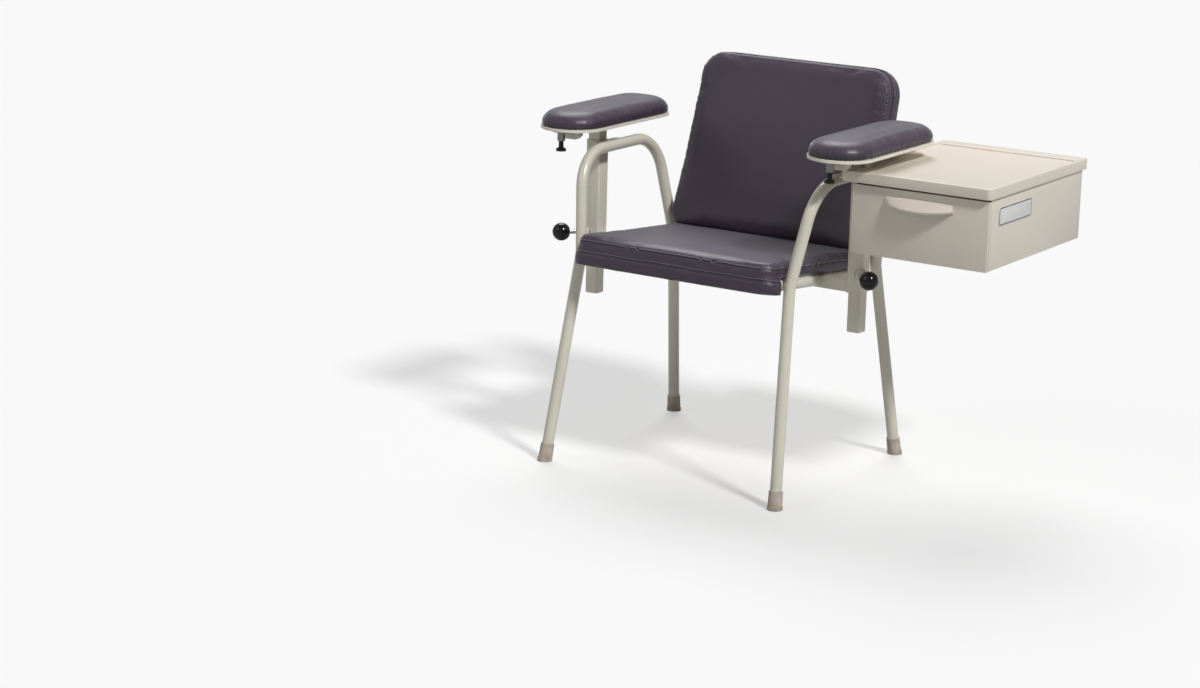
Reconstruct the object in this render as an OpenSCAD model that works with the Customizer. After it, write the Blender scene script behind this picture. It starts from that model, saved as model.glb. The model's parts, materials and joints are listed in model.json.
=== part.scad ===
// Phlebotomy chair: tubular side frames, a padded seat and back, two height-adjustable
// arms that turn, and a one-drawer cabinet on the sitter's left.
// Front is -Y, up is +Z and the sitter's left is +X. All sizes are in millimetres.

/* [Side frames] */
// Outer diameter of the round frame tube
tube_d = 25; // [22:0.5:28]
// Wall of the round frame tube
tube_wall = 2; // [1.5:0.1:3]
// Half the distance between the feet, side to side
foot_x = 291; // [270:1:310]
// Distance of the feet from the middle, front and back
foot_y = 263; // [240:1:290]
// Height of the arm loop's centre line
loop_z = 665; // [640:1:690]
// Half the distance between the arm loops
loop_x = 291.5; // [280:0.5:300]
// Centre-line radius of the arm loop's bends
loop_bend_r = 92; // [80:1:120]

/* [Seat and back] */
// Slope of the seat, the rear lower
seat_tilt = 5.5; // [0:0.5:8]
// Lean of the back from upright
back_lean = 16.5; // [14:0.5:19]
// Half width of the seat cushion at the front
seat_half_w = 249; // [240:1:249]
// Length of the seat cushion
seat_len = 419; // [405:1:422]
// Thickness of the seat cushion above the rails
seat_thick = 31; // [28:1:34]
// Half width of the back cushion at its top
back_half_w = 241; // [238:1:246]
// Height of the back cushion along the back
back_len = 405; // [390:1:405]
// Distance from the upright's front to the cushion's face
back_thick = 28; // [24:1:36]

/* [Arms] */
// Height of the pad board's underside on the sitter's left
board_z_left = 723.5; // [715:0.5:800]
// Height of the pad board's underside on the sitter's right
board_z_right = 711.5; // [705:0.5:800]
// Length of an arm pad
pad_len = 386; // [370:1:410]
// Width of an arm pad
pad_w = 147; // [130:1:150]
// Height of an arm pad above its board
pad_h = 39; // [34:1:45]
// Width of the square arm post
post_w = 30; // [25:0.5:32]
// Length of the square arm post
post_len = 378; // [330:1:400]

/* [Cabinet] */
// Width of the drawer front
front_w = 310; // [260:1:330]
// Height of the drawer front
front_h = 144; // [120:1:150]
// Depth of the cabinet behind the drawer front
shell_depth = 432; // [380:1:450]
// Thickness of the cabinet's top
top_thick = 22; // [16:1:24]
// Depth of the cabinet's top, front to back
top_depth = 466; // [460:1:500]

/* [Hidden] */
$fn = 64;
// Overrun of every cut
over = 1;
// Clearance between pieces that rest on each other
rest_gap = 0.1;
// Clearance of a cushion round a tube or board
wrap_gap = 0.3;
// Radial clearance of a round running fit
run_gap = 0.05;
// Radial clearance of a loose hole round a bolt
loose_gap = 0.3;

// Side frame
knee_x = 260;
knee_front_y = 182.6;
knee_front_z = 454;
knee_back_y = 190.2;
knee_back_z = 436;
loop_front_y = 140.6;
loop_back_y = 152.2;
knee_bend_r = 90;
tube_r = tube_d / 2;
// The band at the ends of a bend
band_w = 1.2;
band_t = 0.2;

// Rubber foot tips
tip_d = 33;
tip_cup_d = 31;
tip_top_d = 29.5;
tip_h = 35;
tip_floor = 6;
tip_foot_h = 7;

// Seat frame
rail_front_x = 234.8;
rail_back_x = 238.6;
upright_top_x = 220;
rail_z0 = 436.7;
rail_corner_y = 180;
rail_bend_r = 75;
rail_front_y = 217;
rail_corner_z = rail_z0 - rail_corner_y * tan(seat_tilt);
front_bar_y = 205;
rear_bar_y = 88;
back_top_v = 446;
top_bar_v = 392;
upright_len = top_bar_v + tube_r;
tab_t = 3;
tab_w = 24;
tab_reach = 30;
seat_tab_y = [-130, 55];
back_tab_v = [105, 235];
board_t = 12;
board_half_w = 229;
seat_board_front = 196;
seat_board_back = 108;
back_board_bottom = 62;
back_board_top = 400;
board_corner_r = 30;
screw_d = 5;
screw_head_d = 10;
screw_head_t = 2.6;
screw_len = 12;

// Seat cushion
seat_front_y = 247;
seat_roll_depth = 49;
seat_roll_h = 31;
seat_roll_back_r = 6;
seat_corner_r = 42;
seat_back_r = 16;
// The roll reaches further out than the seat, over the rails' front ends
roll_over = 5;
seat_flare_share = 0.03;
seat_crown = 7;

// Back cushion
back_corner_r = 58;
back_low_r = 34;
hood_len = 176;
hood_h = 34;
hood_low_r = 14;
back_flare_share = 0.056;
back_crown = 10;

// Shared cushion details, with the unit of the soft forms' level tables
soft = 1;
// Clearance of the roll's sockets round the tubes, and of the notches over the bends
socket_gap = 0.2;
notch_clear = 1;
notch_steps = 6;
seam_depth = 1.4;
seam_w = 1.6;
edge_roll = 9;
draw_in = 2.5;
sunk = 1.6;

// Arm sleeve
sleeve_w = 36;
sleeve_wall = 2.75;
sleeve_corner_r = 4;
post_wall = 2;
post_corner_r = 3;
arm_out = 40.6;
arm_x = loop_x + arm_out;
arm_y = -20.9;
sleeve_bottom = 427.4;
sleeve_top = 674.6;
bracket_w = 25;
bracket_wall = 2;
upper_bracket_in = 4;
upper_bracket_t = 4;
upper_bracket_l = 90;
upper_bracket_cut = 8;
lower_bracket_z = 438;

// Clamp knob
clamp_z = 467;
ball_d = 40;
ball_reach = 52;
ball_flat_share = 0.86;
boss_d = 25;
boss_reach = 16;
boss_sink = 7;
stud_d = 10;
stud_sink = 22;

// Pad, its plate and its pivot
plate_t = 4.5;
plate_w = 45;
plate_front = 150;
plate_back = 150;
pad_front = 165.5;
pad_front_r = 72;
pad_back_r = 60;
pad_board_t = 6;
pad_board_inset = 1;
pad_crown = 6;
pivot_y = -101;
block_w = 45;
block_l = 19;
block_h = 18;
block_chamfer = 8;
bolt_d = 8;
bolt_head_d = 24;
bolt_head_t = 2.5;
bolt_past_nut = 1.5;
nut_af = 13;
nut_t = 6.5;
nut_recess = 8;

// Index plunger
plunger_y = -142;
collar_d = 17;
collar_h = 17.1;
collar_neck_d = 12;
chamber_d = 10;
chamber_roof = 2;
chamber_floor = 2;
pin_d = 7;
pin_rise = 3.2;
shoulder_d = 9.6;
shoulder_t = 2;
rod_d = 5;
stem_d = 10.7;
stem_end = 36;
plunger_end = 44.3;
flange_d = 22;
flange_neck_share = 0.45;
groove_depth = 4;
groove_gap = 0.3;
swing_angle = 90;
groove_end_angle = 2;
wire_d = 0.8;
coil_count = 5;
coil_steps = 14;
wire_sides = 6;

// Cabinet
sheet = 1.5;
front_side_gap = 0.9;
front_left_x = arm_x + sleeve_w / 2 + front_side_gap;
front_y = 97;
front_bottom = 526.5;
front_t = 8;
front_gap = 1.5;
front_rib_w = 26;
shell_inset = 0.5;
mount_plate_t = 4;
mount_plate_h = 110;
mount_plate_l = 190;
mount_bolt_d = 6;
mount_head_d = 11;
mount_head_t = 3.5;
mount_bolt_len = 12;
mount_bolt_inset = 22;
shell_x0 = front_left_x + mount_plate_t;
shell_x1 = front_left_x + front_w;
shell_y0 = -front_y + front_t + front_gap;
shell_y1 = shell_y0 + shell_depth;
shell_z0 = front_bottom + shell_inset;
shell_z1 = 673.8;
lid_over_arm = 7.1;
lid_x0 = arm_x - lid_over_arm;
lid_overhang = 6;
lid_x1 = front_left_x + front_w + lid_overhang;
lid_y0 = -105;
lid_z0 = 675.5;
lid_corner_r = 11;
lid_plinth_inset = 6;
lid_recess = 2.5;
lid_rim = 9;
lid_back_rim = 46;
notch_gap = 1.5;
slide_t = 12.5;
slide_h = 35;
slide_len = 380;
slide_wall = 1.2;
slide_z = 600;
slide_inner_h = 24;
slide_set_back = 6;
shell_screw_inset = 30;
slide_inner_t = 8;
box_h = 110;
box_len = 400;
box_z0 = front_bottom + 12;
screw2_d = 4;
screw2_head_d = 8;
screw2_head_t = 2.4;
handle_w = 152;
handle_bow = 27;
handle_h = 26;
handle_t = 4;
handle_lip = 7;
handle_turn = 4;
handle_z = 643;
handle_foot = 16;
handle_web = 26;

// How far the seat's roll stands ahead of its front edge
front_swell = 6;

// From a sleeve's middle to its corner
corner_reach = sleeve_w / 2 * sqrt(2);

// Where the origin sits: middle of the whole in X and Y, floor in Z
reach_left = lid_x1;
reach_right = arm_x + max(pad_w / 2, (corner_reach + ball_reach) / sqrt(2) + ball_d / 2);
reach_front = seat_front_y * cos(seat_tilt) + front_swell;
reach_back = lid_y0 + top_depth;
origin_x = (reach_left - reach_right) / 2;
origin_y = (reach_back - max(reach_front, foot_y + tip_d / 2)) / 2;

// Colours
c_frame = [0.87, 0.85, 0.78];
c_vinyl = [0.30, 0.26, 0.31];
c_black = [0.05, 0.05, 0.05];
c_steel = [0.70, 0.70, 0.70];
c_grey = [0.55, 0.55, 0.54];
c_wood = [0.76, 0.62, 0.42];
c_white = [0.93, 0.92, 0.89];
c_tip = [0.74, 0.68, 0.64];
c_beige = [0.83, 0.80, 0.74];

// Vector helpers
function unit(v) = v / norm(v);
function turn_between(a, b) = acos(a * b);

// A straight round bar from one point to another
module bar(from, to, d) {
    run = to - from;
    translate(from)
        rotate([0, acos(run.z / norm(run)), atan2(run.y, run.x)])
            cylinder(h = norm(run), d = d);
}

// How far a bend of radius r reaches from its corner along the straights
function bend_reach(p0, p1, p2, r) =
    r * tan((180 - turn_between(unit(p0 - p1), unit(p2 - p1))) / 2);

// One bend of a bar at the corner p1 between p0 and p2, short of its ends by the angle slack
module bend(p0, p1, p2, r, d) {
    a = unit(p0 - p1);
    b = unit(p2 - p1);
    sweep = 180 - turn_between(a, b);
    slack = asin(band_w / 2 / r) / 2;
    centre = p1 + unit(a + b) * (r / cos(sweep / 2));
    u = unit(p1 + a * (r * tan(sweep / 2)) - centre);
    v = -a;
    w = cross(u, v);
    translate(centre)
        rotate([atan2(v.z, w.z), asin(-u.z), atan2(u.y, u.x)])
            rotate([0, 0, slack])
                rotate_extrude(angle = sweep - 2 * slack)
                    translate([r, 0])
                        circle(d = d);
}

// A solid round bar along corner points, with a bend radius for each inner corner.
// A slim band joins each bend to its straights.
module bent_bar(points, radii, d, band) {
    last = len(points) - 1;
    reach = [for (i = [0:last]) i == 0 || i == last ? 0
        : bend_reach(points[i - 1], points[i], points[i + 1], radii[i - 1])];
    for (i = [0:last - 1]) {
        dir = unit(points[i + 1] - points[i]);
        start = points[i] + dir * reach[i];
        end = points[i + 1] - dir * reach[i + 1];
        bar(start + dir * (i == 0 ? 0 : band_w / 4),
            end - dir * (i == last - 1 ? 0 : band_w / 4), d);
        if (i > 0) bar(start - dir * band_w / 2, start + dir * band_w / 2, band);
        if (i < last - 1) bar(end - dir * band_w / 2, end + dir * band_w / 2, band);
    }
    for (i = [1:last - 1])
        bend(points[i - 1], points[i], points[i + 1], radii[i - 1], d);
}

// The same bar made hollow, open at both ends
module bent_tube(points, radii, d, wall) {
    last = len(points) - 1;
    first_dir = unit(points[0] - points[1]);
    last_dir = unit(points[last] - points[last - 1]);
    cut = [for (i = [0:last]) i == 0 ? points[0] + first_dir * over
        : i == last ? points[last] + last_dir * over : points[i]];
    difference() {
        bent_bar(points, radii, d, d + band_t);
        bent_bar(cut, radii, d - 2 * wall, d - 2 * wall + band_t);
    }
}

// A rectangle with rounded corners about its centre
module round_rect(w, l, r) {
    square([w, l - 2 * r], center = true);
    square([w - 2 * r, l], center = true);
    for (x = [-1, 1], y = [-1, 1])
        translate([x * (w / 2 - r), y * (l / 2 - r)])
            circle(r = r);
}

// A square tube along Z
module square_tube(w, wall, r, h) {
    linear_extrude(h)
        difference() {
            round_rect(w, w, r);
            round_rect(w - 2 * wall, w - 2 * wall, r - wall / 2);
        }
}

// Cushion forms: rings of points from the underside to the crown
corner_steps = 5;
side_steps = 5;
function corner_arc(cx, cy, r, a0) =
    [for (i = [0:corner_steps]) [cx + r * cos(a0 + 90 * i / corner_steps),
        cy + r * sin(a0 + 90 * i / corner_steps)]];
function spread(a, b) =
    [for (i = [1:side_steps]) a + (b - a) * i / (side_steps + 1)];
function outline(hw, y0, y1, rf, rb, d) =
    let (k0 = corner_arc(hw - rb, y1 - rb, rb - d, 0),
        k1 = corner_arc(-hw + rb, y1 - rb, rb - d, 90),
        k2 = corner_arc(-hw + rf, y0 + rf, rf - d, 180),
        k3 = corner_arc(hw - rf, y0 + rf, rf - d, 270),
        e = corner_steps)
    concat(k0, spread(k0[e], k1[0]), k1, spread(k1[e], k2[0]),
        k2, spread(k2[e], k3[0]), k3, spread(k3[e], k0[0]));

// One ring of the shape [half width, y0, y1, front radius, rear radius, crown, flare]
// at the level [inset, scale about the middle, height, crown share]
function ring(o, level) =
    let (hw = o[0], y0 = o[1], y1 = o[2], crown = o[5], flare = o[6],
        mid = (y0 + y1) / 2, hl = (y1 - y0) / 2)
    [for (p = outline(hw, y0, y1, o[3], o[4], level[0]))
        let (x = p.x * level[1], y = mid + (p.y - mid) * level[1],
            cx = 1 - pow(x / hw, 2), cy = 1 - pow((y - mid) / hl, 2))
        [x * (1 + flare * (y - y0) / (y1 - y0)), y,
            level[2] + crown * level[3] * cx * cy]];

// A closed form through its rings, with a fan at each end
module ring_form(o, levels) {
    rings = [for (l = levels) ring(o, l)];
    n = len(rings[0]);
    m = len(rings);
    mid = (o[1] + o[2]) / 2;
    bottom = [0, mid, levels[0][2]];
    top = [0, mid, levels[m - 1][2] + o[5] * levels[m - 1][3]];
    points = concat([for (r = rings) each r], [bottom, top]);
    faces = concat(
        [for (k = [0:m - 2], i = [0:n - 1]) [k * n + i, (k + 1) * n + i,
            k * n + (i + 1) % n]],
        [for (k = [0:m - 2], i = [0:n - 1]) [k * n + (i + 1) % n, (k + 1) * n + i,
            (k + 1) * n + (i + 1) % n]],
        [for (i = [0:n - 1]) [m * n, i, (i + 1) % n]],
        [for (i = [0:n - 1]) [m * n + 1, (m - 1) * n + (i + 1) % n, (m - 1) * n + i]]);
    polyhedron(points = points, faces = faces, convexity = 6);
}

// Placing helpers
module placed() {
    translate([-origin_x, -origin_y, 0])
        children();
}
module on_side(side) {
    if (side > 0) children();
    else mirror([1, 0, 0]) children();
}
module seat_place() {
    translate([0, 0, rail_z0])
        rotate([-seat_tilt, 0, 0])
            children();
}
module back_place() {
    translate([0, rail_corner_y, rail_corner_z])
        rotate([90 - back_lean, 0, 0])
            rotate([0, 0, 180])
                children();
}
module arm_place(side) {
    on_side(side)
        translate([arm_x, arm_y, side > 0 ? board_z_left : board_z_right])
            children();
}
module sleeve_place(side) {
    on_side(side)
        translate([arm_x, arm_y, 0])
            children();
}
// Z along the clamp's axis, outward from the sleeve's corner
module clamp_place(side) {
    sleeve_place(side)
        translate([0, 0, clamp_z])
            rotate([90, 0, 45])
                children();
}
post_corner_reach = post_w / 2 * sqrt(2) - post_corner_r * (sqrt(2) - 1);

// Side frames
side_path = [
    [foot_x, -foot_y, 0],
    [knee_x, -knee_front_y, knee_front_z],
    [loop_x, -loop_front_y, loop_z],
    [loop_x, loop_back_y, loop_z],
    [knee_x, knee_back_y, knee_back_z],
    [foot_x, foot_y, 0]
];
side_radii = [knee_bend_r, loop_bend_r, loop_bend_r, knee_bend_r];
// The tube stops on the floor of its rubber tips
function leg_point(foot, knee, height) = foot + (knee - foot) * (height / knee.z);
side_tube = [
    leg_point(side_path[0], side_path[1], tip_floor + rest_gap),
    side_path[1], side_path[2], side_path[3], side_path[4],
    leg_point(side_path[5], side_path[4], tip_floor + rest_gap)
];
module side_frame(side) {
    color(c_frame)
        on_side(side)
            bent_tube(side_tube, side_radii, tube_d, tube_wall);
}

// Rubber tips: a cup along the leg, on a level foot
module tip(foot, knee) {
    dir = unit(knee - foot);
    low = leg_point(foot, knee, tip_foot_h / 2);
    difference() {
        union() {
            translate(foot)
                cylinder(h = tip_foot_h, d = tip_d);
            translate(low)
                rotate([0, acos(dir.z), atan2(dir.y, dir.x)])
                    cylinder(h = tip_h, d1 = tip_cup_d, d2 = tip_top_d);
        }
        translate(leg_point(foot, knee, tip_floor))
            rotate([0, acos(dir.z), atan2(dir.y, dir.x)])
                cylinder(h = tip_h + over, d = tube_d + 2 * run_gap);
    }
}
module rubber_tips() {
    color(c_tip)
        for (side = [-1, 1])
            on_side(side) {
                tip(side_path[0], side_path[1]);
                tip(side_path[5], side_path[4]);
            }
}

// Seat rails, bent up into the back's uprights
upright_dir = [0, sin(back_lean), cos(back_lean)];
rail_corner = [rail_back_x, rail_corner_y, rail_corner_z];
rail_path = [
    [rail_front_x, -rail_front_y, rail_z0 + rail_front_y * tan(seat_tilt)],
    rail_corner,
    rail_corner + upright_dir * upright_len - [rail_back_x - upright_top_x, 0, 0]
];
// Where the rail is across the chair, along the seat and up the back
function rail_x(y) = rail_front_x
    + (rail_back_x - rail_front_x) * (y + rail_front_y) / (rail_corner_y + rail_front_y);
function upright_x(v) = rail_back_x - (rail_back_x - upright_top_x) * v / upright_len;
module seat_rail(side) {
    color(c_frame)
        on_side(side)
            bent_tube(rail_path, [rail_bend_r], tube_d, tube_wall);
}
module rails_solid(grow) {
    for (side = [-1, 1])
        on_side(side)
            bent_bar(rail_path, [rail_bend_r], tube_d + 2 * grow,
                tube_d + 2 * grow + band_t);
}

// A crossbar between the rails, its ends shaped to their sides
module crossbar(half) {
    rotate([0, 90, 0])
        difference() {
            cylinder(h = 2 * half, d = tube_d, center = true);
            cylinder(h = 2 * half + 2 * over, d = tube_d - 2 * tube_wall, center = true);
        }
}
module front_crossbar() {
    color(c_frame)
        difference() {
            seat_place()
                translate([0, -front_bar_y, 0])
                    crossbar(rail_x(-front_bar_y));
            rails_solid(rest_gap);
        }
}
module rear_crossbar() {
    color(c_frame)
        difference() {
            seat_place()
                translate([0, rear_bar_y, 0])
                    crossbar(rail_x(rear_bar_y));
            rails_solid(rest_gap);
        }
}
module back_top_crossbar() {
    color(c_frame)
        difference() {
            back_place()
                translate([0, -top_bar_v, 0])
                    crossbar(upright_x(top_bar_v));
            rails_solid(rest_gap);
        }
}

// Flat tabs on the rails and uprights, and the screws through them
module tab() {
    difference() {
        translate([-tube_r - tab_reach, -tab_w / 2, tube_r - tab_t])
            cube([tube_r + tab_reach, tab_w, tab_t]);
        translate([-tube_r - tab_reach / 2, 0, tube_r - tab_t - over])
            cylinder(h = tab_t + 2 * over, d = screw_d + 2 * loose_gap);
    }
}
module tab_places() {
    for (side = [-1, 1]) {
        seat_place()
            for (y = seat_tab_y)
                on_side(side)
                    translate([rail_x(y), y, 0])
                        children();
        back_place()
            for (v = back_tab_v)
                on_side(side)
                    translate([upright_x(v), -v, 0])
                        children();
    }
}
module screw_places() {
    tab_places()
        translate([-tube_r - tab_reach / 2, 0, tube_r - tab_t])
            children();
}
module mounting_tabs() {
    color(c_frame)
        difference() {
            tab_places()
                tab();
            rails_solid(rest_gap);
        }
}
module cushion_screws() {
    color(c_steel)
        screw_places() {
            translate([0, 0, -screw_head_t - rest_gap])
                cylinder(h = screw_len + screw_head_t, d = screw_d);
            translate([0, 0, -screw_head_t - rest_gap])
                cylinder(h = screw_head_t, d = screw_head_d);
        }
}

// Boards inside the cushions
module board_plate(hw, y0, y1) {
    translate([0, (y0 + y1) / 2, tube_r + rest_gap])
        linear_extrude(board_t)
            round_rect(2 * hw, y1 - y0, board_corner_r);
}
module board_holes() {
    screw_places()
        cylinder(h = screw_len + rest_gap, d = screw_d + 2 * run_gap);
}
module seat_board() {
    color(c_wood)
        difference() {
            seat_place()
                board_plate(board_half_w, -seat_board_front, seat_board_back);
            board_holes();
        }
}
module back_board() {
    color(c_wood)
        difference() {
            back_place()
                board_plate(board_half_w, -back_board_top, -back_board_bottom);
            board_holes();
        }
}

// Seat cushion: a crowned slab, and a roll under its front that wraps the front crossbar
seat_y0 = -seat_front_y;
seat_y1 = seat_y0 + seat_len;
seat_shape = [seat_half_w, seat_y0, seat_y1, seat_corner_r, seat_back_r, seat_crown,
    seat_flare_share];
seat_low = tube_r + wrap_gap;
seat_top = tube_r + seat_thick;
seat_levels = [
    [seat_back_r, 0.5, seat_low, 0],
    [draw_in + 2 * soft, 1, seat_low, 0],
    [draw_in / 2, 1, seat_low + 2 * soft, 0],
    [0, 1, seat_low + 5 * soft, 0],
    [0, 1, (seat_low + seat_top) / 2, 0],
    [0.5 * soft, 1, seat_top - edge_roll, 0],
    [0.9 * soft, 1, seat_top - edge_roll + seam_w, 0],
    [seam_depth + 1.5 * soft, 1, seat_top - edge_roll + 2 * seam_w, 0],
    [2.2 * soft, 1, seat_top - edge_roll + 3 * seam_w, 0],
    [6 * soft, 1, seat_top - soft, 0.2],
    [seat_back_r * 0.9, 1, seat_top, 0.8],
    [seat_back_r * 0.9, 0.86, seat_top, 1],
    [seat_back_r * 0.9, 0.6, seat_top, 1],
    [seat_back_r * 0.9, 0.3, seat_top, 1]
];
roll_shape = [seat_half_w + roll_over, seat_y0, seat_y0 + seat_roll_depth, seat_corner_r,
    seat_roll_back_r, 0, seat_flare_share * seat_roll_depth / seat_len];
roll_low = seat_low - seat_roll_h;
roll_levels = [
    [seat_roll_back_r * 0.9, 0.6, roll_low, 0],
    [seat_roll_back_r * 0.9, 1, roll_low, 0],
    [2 * soft, 1, roll_low + 2 * soft, 0],
    [0.5 * soft, 1, roll_low + 6 * soft, 0],
    [0, 1, roll_low + 14 * soft, 0],
    [0.5 * soft, 1, seat_low - 4 * soft, 0],
    [draw_in, 1, seat_low, 0],
    [draw_in + 2.5 * soft, 1, seat_low + sunk, 0],
    [draw_in + 2.5 * soft, 0.6, seat_low + sunk, 0]
];
module board_pocket(hw, y0, y1) {
    translate([0, (y0 + y1) / 2, 0])
        linear_extrude(tube_r + rest_gap + board_t + wrap_gap)
            round_rect(2 * (hw + wrap_gap), y1 - y0 + 2 * wrap_gap, board_corner_r);
}
module crossbar_solid(v) {
    translate([0, v, 0])
        rotate([0, 90, 0])
            cylinder(h = 2 * rail_back_x, d = tube_d + 2 * wrap_gap, center = true);
}
// The roll's sockets for the rails' front ends
module rail_sockets() {
    dir = unit(rail_path[1] - rail_path[0]);
    for (side = [-1, 1])
        on_side(side)
            bar(rail_path[0] - dir * over, rail_path[0] + dir * seat_roll_depth,
                tube_d + 2 * socket_gap);
}
// The seat's rear corners are cut up over the bends of the rails
notch_y0 = rail_corner_y / cos(seat_tilt)
    - rail_bend_r * tan((90 - back_lean + seat_tilt) / 2);
notch_r = rail_bend_r - tube_r - notch_clear;
notch_run = seat_y1 + over - notch_y0;
notch_arc = min(notch_run, notch_r);
module rail_notches() {
    for (side = [-1, 1])
        on_side(side)
            translate([rail_x(rail_corner_y) - tube_r - notch_clear, 0, 0])
                rotate([90, 0, 90])
                    linear_extrude(2 * tube_d)
                        polygon(concat(
                            [[seat_y1 + over, 0], [notch_y0, 0]],
                            [for (k = [0:notch_steps]) let (y = notch_arc * k / notch_steps)
                                [notch_y0 + y, rail_bend_r - sqrt(pow(notch_r, 2) - pow(y, 2))]],
                            [if (notch_run > notch_arc) [notch_y0 + notch_run, rail_bend_r]]));
}
module seat_cushion() {
    color(c_vinyl)
        difference() {
            seat_place() {
                ring_form(seat_shape, seat_levels);
                ring_form(roll_shape, roll_levels);
            }
            seat_place() {
                board_pocket(board_half_w, -seat_board_front, seat_board_back);
                translate([0, -front_bar_y, 0])
                    rotate([0, 90, 0])
                        cylinder(h = 2 * rail_front_x, d = tube_d + 2 * socket_gap,
                            center = true);
                rail_notches();
            }
            rail_sockets();
        }
}

// Back cushion: a crowned panel, with a hood behind its top that drops over the frame
back_shape = [back_half_w, -back_top_v, -back_top_v + back_len, back_corner_r,
    back_low_r, back_crown, back_flare_share];
back_low = tube_r + wrap_gap;
back_top = tube_r + back_thick;
back_levels = [
    [back_low_r, 0.5, back_low, 0],
    [draw_in + 2 * soft, 1, back_low, 0],
    [draw_in / 2, 1, back_low + 2 * soft, 0],
    [0, 1, back_low + 6 * soft, 0],
    [0, 1, back_top - edge_roll / 2 - seam_w, 0],
    [seam_depth, 1, back_top - edge_roll / 2, 0],
    [0.6 * soft, 1, back_top - edge_roll / 2 + seam_w, 0],
    [4 * soft, 1, back_top, 0.1],
    [11 * soft, 1, back_top + 1.5 * soft, 0.4],
    [back_low_r * 0.8, 1, back_top + 1.5 * soft, 0.85],
    [back_low_r * 0.8, 0.86, back_top, 1],
    [back_low_r * 0.8, 0.6, back_top, 1],
    [back_low_r * 0.8, 0.3, back_top, 1]
];
hood_shape = [back_half_w, -back_top_v, -back_top_v + hood_len, back_corner_r, hood_low_r,
    0, back_flare_share * hood_len / back_len];
hood_low = back_low - hood_h;
hood_levels = [
    [hood_low_r * 0.8, 0.5, hood_low, 0],
    [hood_low_r * 0.8, 1, hood_low, 0],
    [5 * soft, 1, hood_low + 1.5 * soft, 0],
    [1.5 * soft, 1, hood_low + 5 * soft, 0],
    [0, 1, hood_low + 10 * soft, 0],
    [0.5 * soft, 1, back_low - 3 * soft, 0],
    [draw_in, 1, back_low, 0],
    [draw_in + 3 * soft, 1, back_low + sunk, 0],
    [draw_in + 3 * soft, 0.5, back_low + sunk, 0]
];
module back_cushion() {
    color(c_vinyl)
        difference() {
            back_place() {
                ring_form(back_shape, back_levels);
                ring_form(hood_shape, hood_levels);
            }
            back_place() {
                board_pocket(board_half_w, -back_board_top, -back_board_bottom);
                crossbar_solid(-top_bar_v);
            }
            rails_solid(wrap_gap);
        }
}

// Arm sleeves and the brackets that carry them
module arm_sleeve(side) {
    color(c_frame)
        difference() {
            sleeve_place(side)
                translate([0, 0, sleeve_bottom])
                    square_tube(sleeve_w, sleeve_wall, sleeve_corner_r,
                        sleeve_top - sleeve_bottom);
            clamp_place(side)
                cylinder(h = corner_reach + over, d = stud_d + 2 * run_gap);
        }
}
// A square stub along X between two faces, hollow
module stub(x0, x1, y, z) {
    translate([x0, y, z])
        rotate([90, 0, 90])
            linear_extrude(x1 - x0)
                difference() {
                    square(bracket_w, center = true);
                    square(bracket_w - 2 * bracket_wall, center = true);
                }
}
module upper_bracket(side) {
    color(c_frame)
        on_side(side)
            difference() {
                translate([loop_x + upper_bracket_in, arm_y, sleeve_top - upper_bracket_t])
                    linear_extrude(upper_bracket_t - rest_gap)
                        upper_bracket_outline(arm_x - sleeve_w / 2 - rest_gap
                            - loop_x - upper_bracket_in);
                bent_bar(side_tube, side_radii, tube_d + 2 * rest_gap,
                    tube_d + 2 * rest_gap + band_t);
            }
}
module upper_bracket_outline(w) {
    polygon([
        [0, -upper_bracket_l / 2], [w - upper_bracket_cut, -upper_bracket_l / 2],
        [w, -upper_bracket_l / 2 + upper_bracket_cut],
        [w, upper_bracket_l / 2 - upper_bracket_cut],
        [w - upper_bracket_cut, upper_bracket_l / 2], [0, upper_bracket_l / 2]
    ]);
}
module lower_bracket(side) {
    color(c_frame)
        difference() {
            on_side(side)
                stub(rail_front_x, arm_x - sleeve_w / 2 - rest_gap, arm_y, lower_bracket_z);
            rails_solid(rest_gap);
        }
}

// Clamp: a boss on the sleeve's corner, a stud and its ball knob
module clamp_boss(side) {
    color(c_frame)
        difference() {
            clamp_place(side)
                difference() {
                    translate([0, 0, corner_reach - boss_sink])
                        cylinder(h = boss_reach + boss_sink, d = boss_d);
                    cylinder(h = corner_reach + boss_reach + over,
                        d = stud_d + 2 * run_gap);
                }
            sleeve_place(side)
                translate([0, 0, sleeve_bottom])
                    linear_extrude(sleeve_top - sleeve_bottom)
                        round_rect(sleeve_w + 2 * rest_gap, sleeve_w + 2 * rest_gap,
                            sleeve_corner_r + rest_gap);
        }
}
stud_start = post_corner_reach + 2 * rest_gap;
ball_centre = corner_reach + ball_reach;
module clamp_stud(side) {
    color(c_steel)
        clamp_place(side)
            translate([0, 0, stud_start])
                cylinder(h = ball_centre - ball_d / 2 + stud_sink - stud_start,
                    d = stud_d);
}
module ball_knob(side) {
    color(c_black)
        clamp_place(side)
            difference() {
                translate([0, 0, ball_centre])
                    sphere(d = ball_d);
                translate([0, 0, ball_centre - ball_d / 2 * ball_flat_share - ball_d])
                    cylinder(h = ball_d, d = ball_d);
                translate([0, 0, stud_start])
                    cylinder(h = ball_centre - ball_d / 2 + stud_sink + rest_gap
                        - stud_start, d = stud_d + 2 * run_gap);
            }
}

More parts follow.
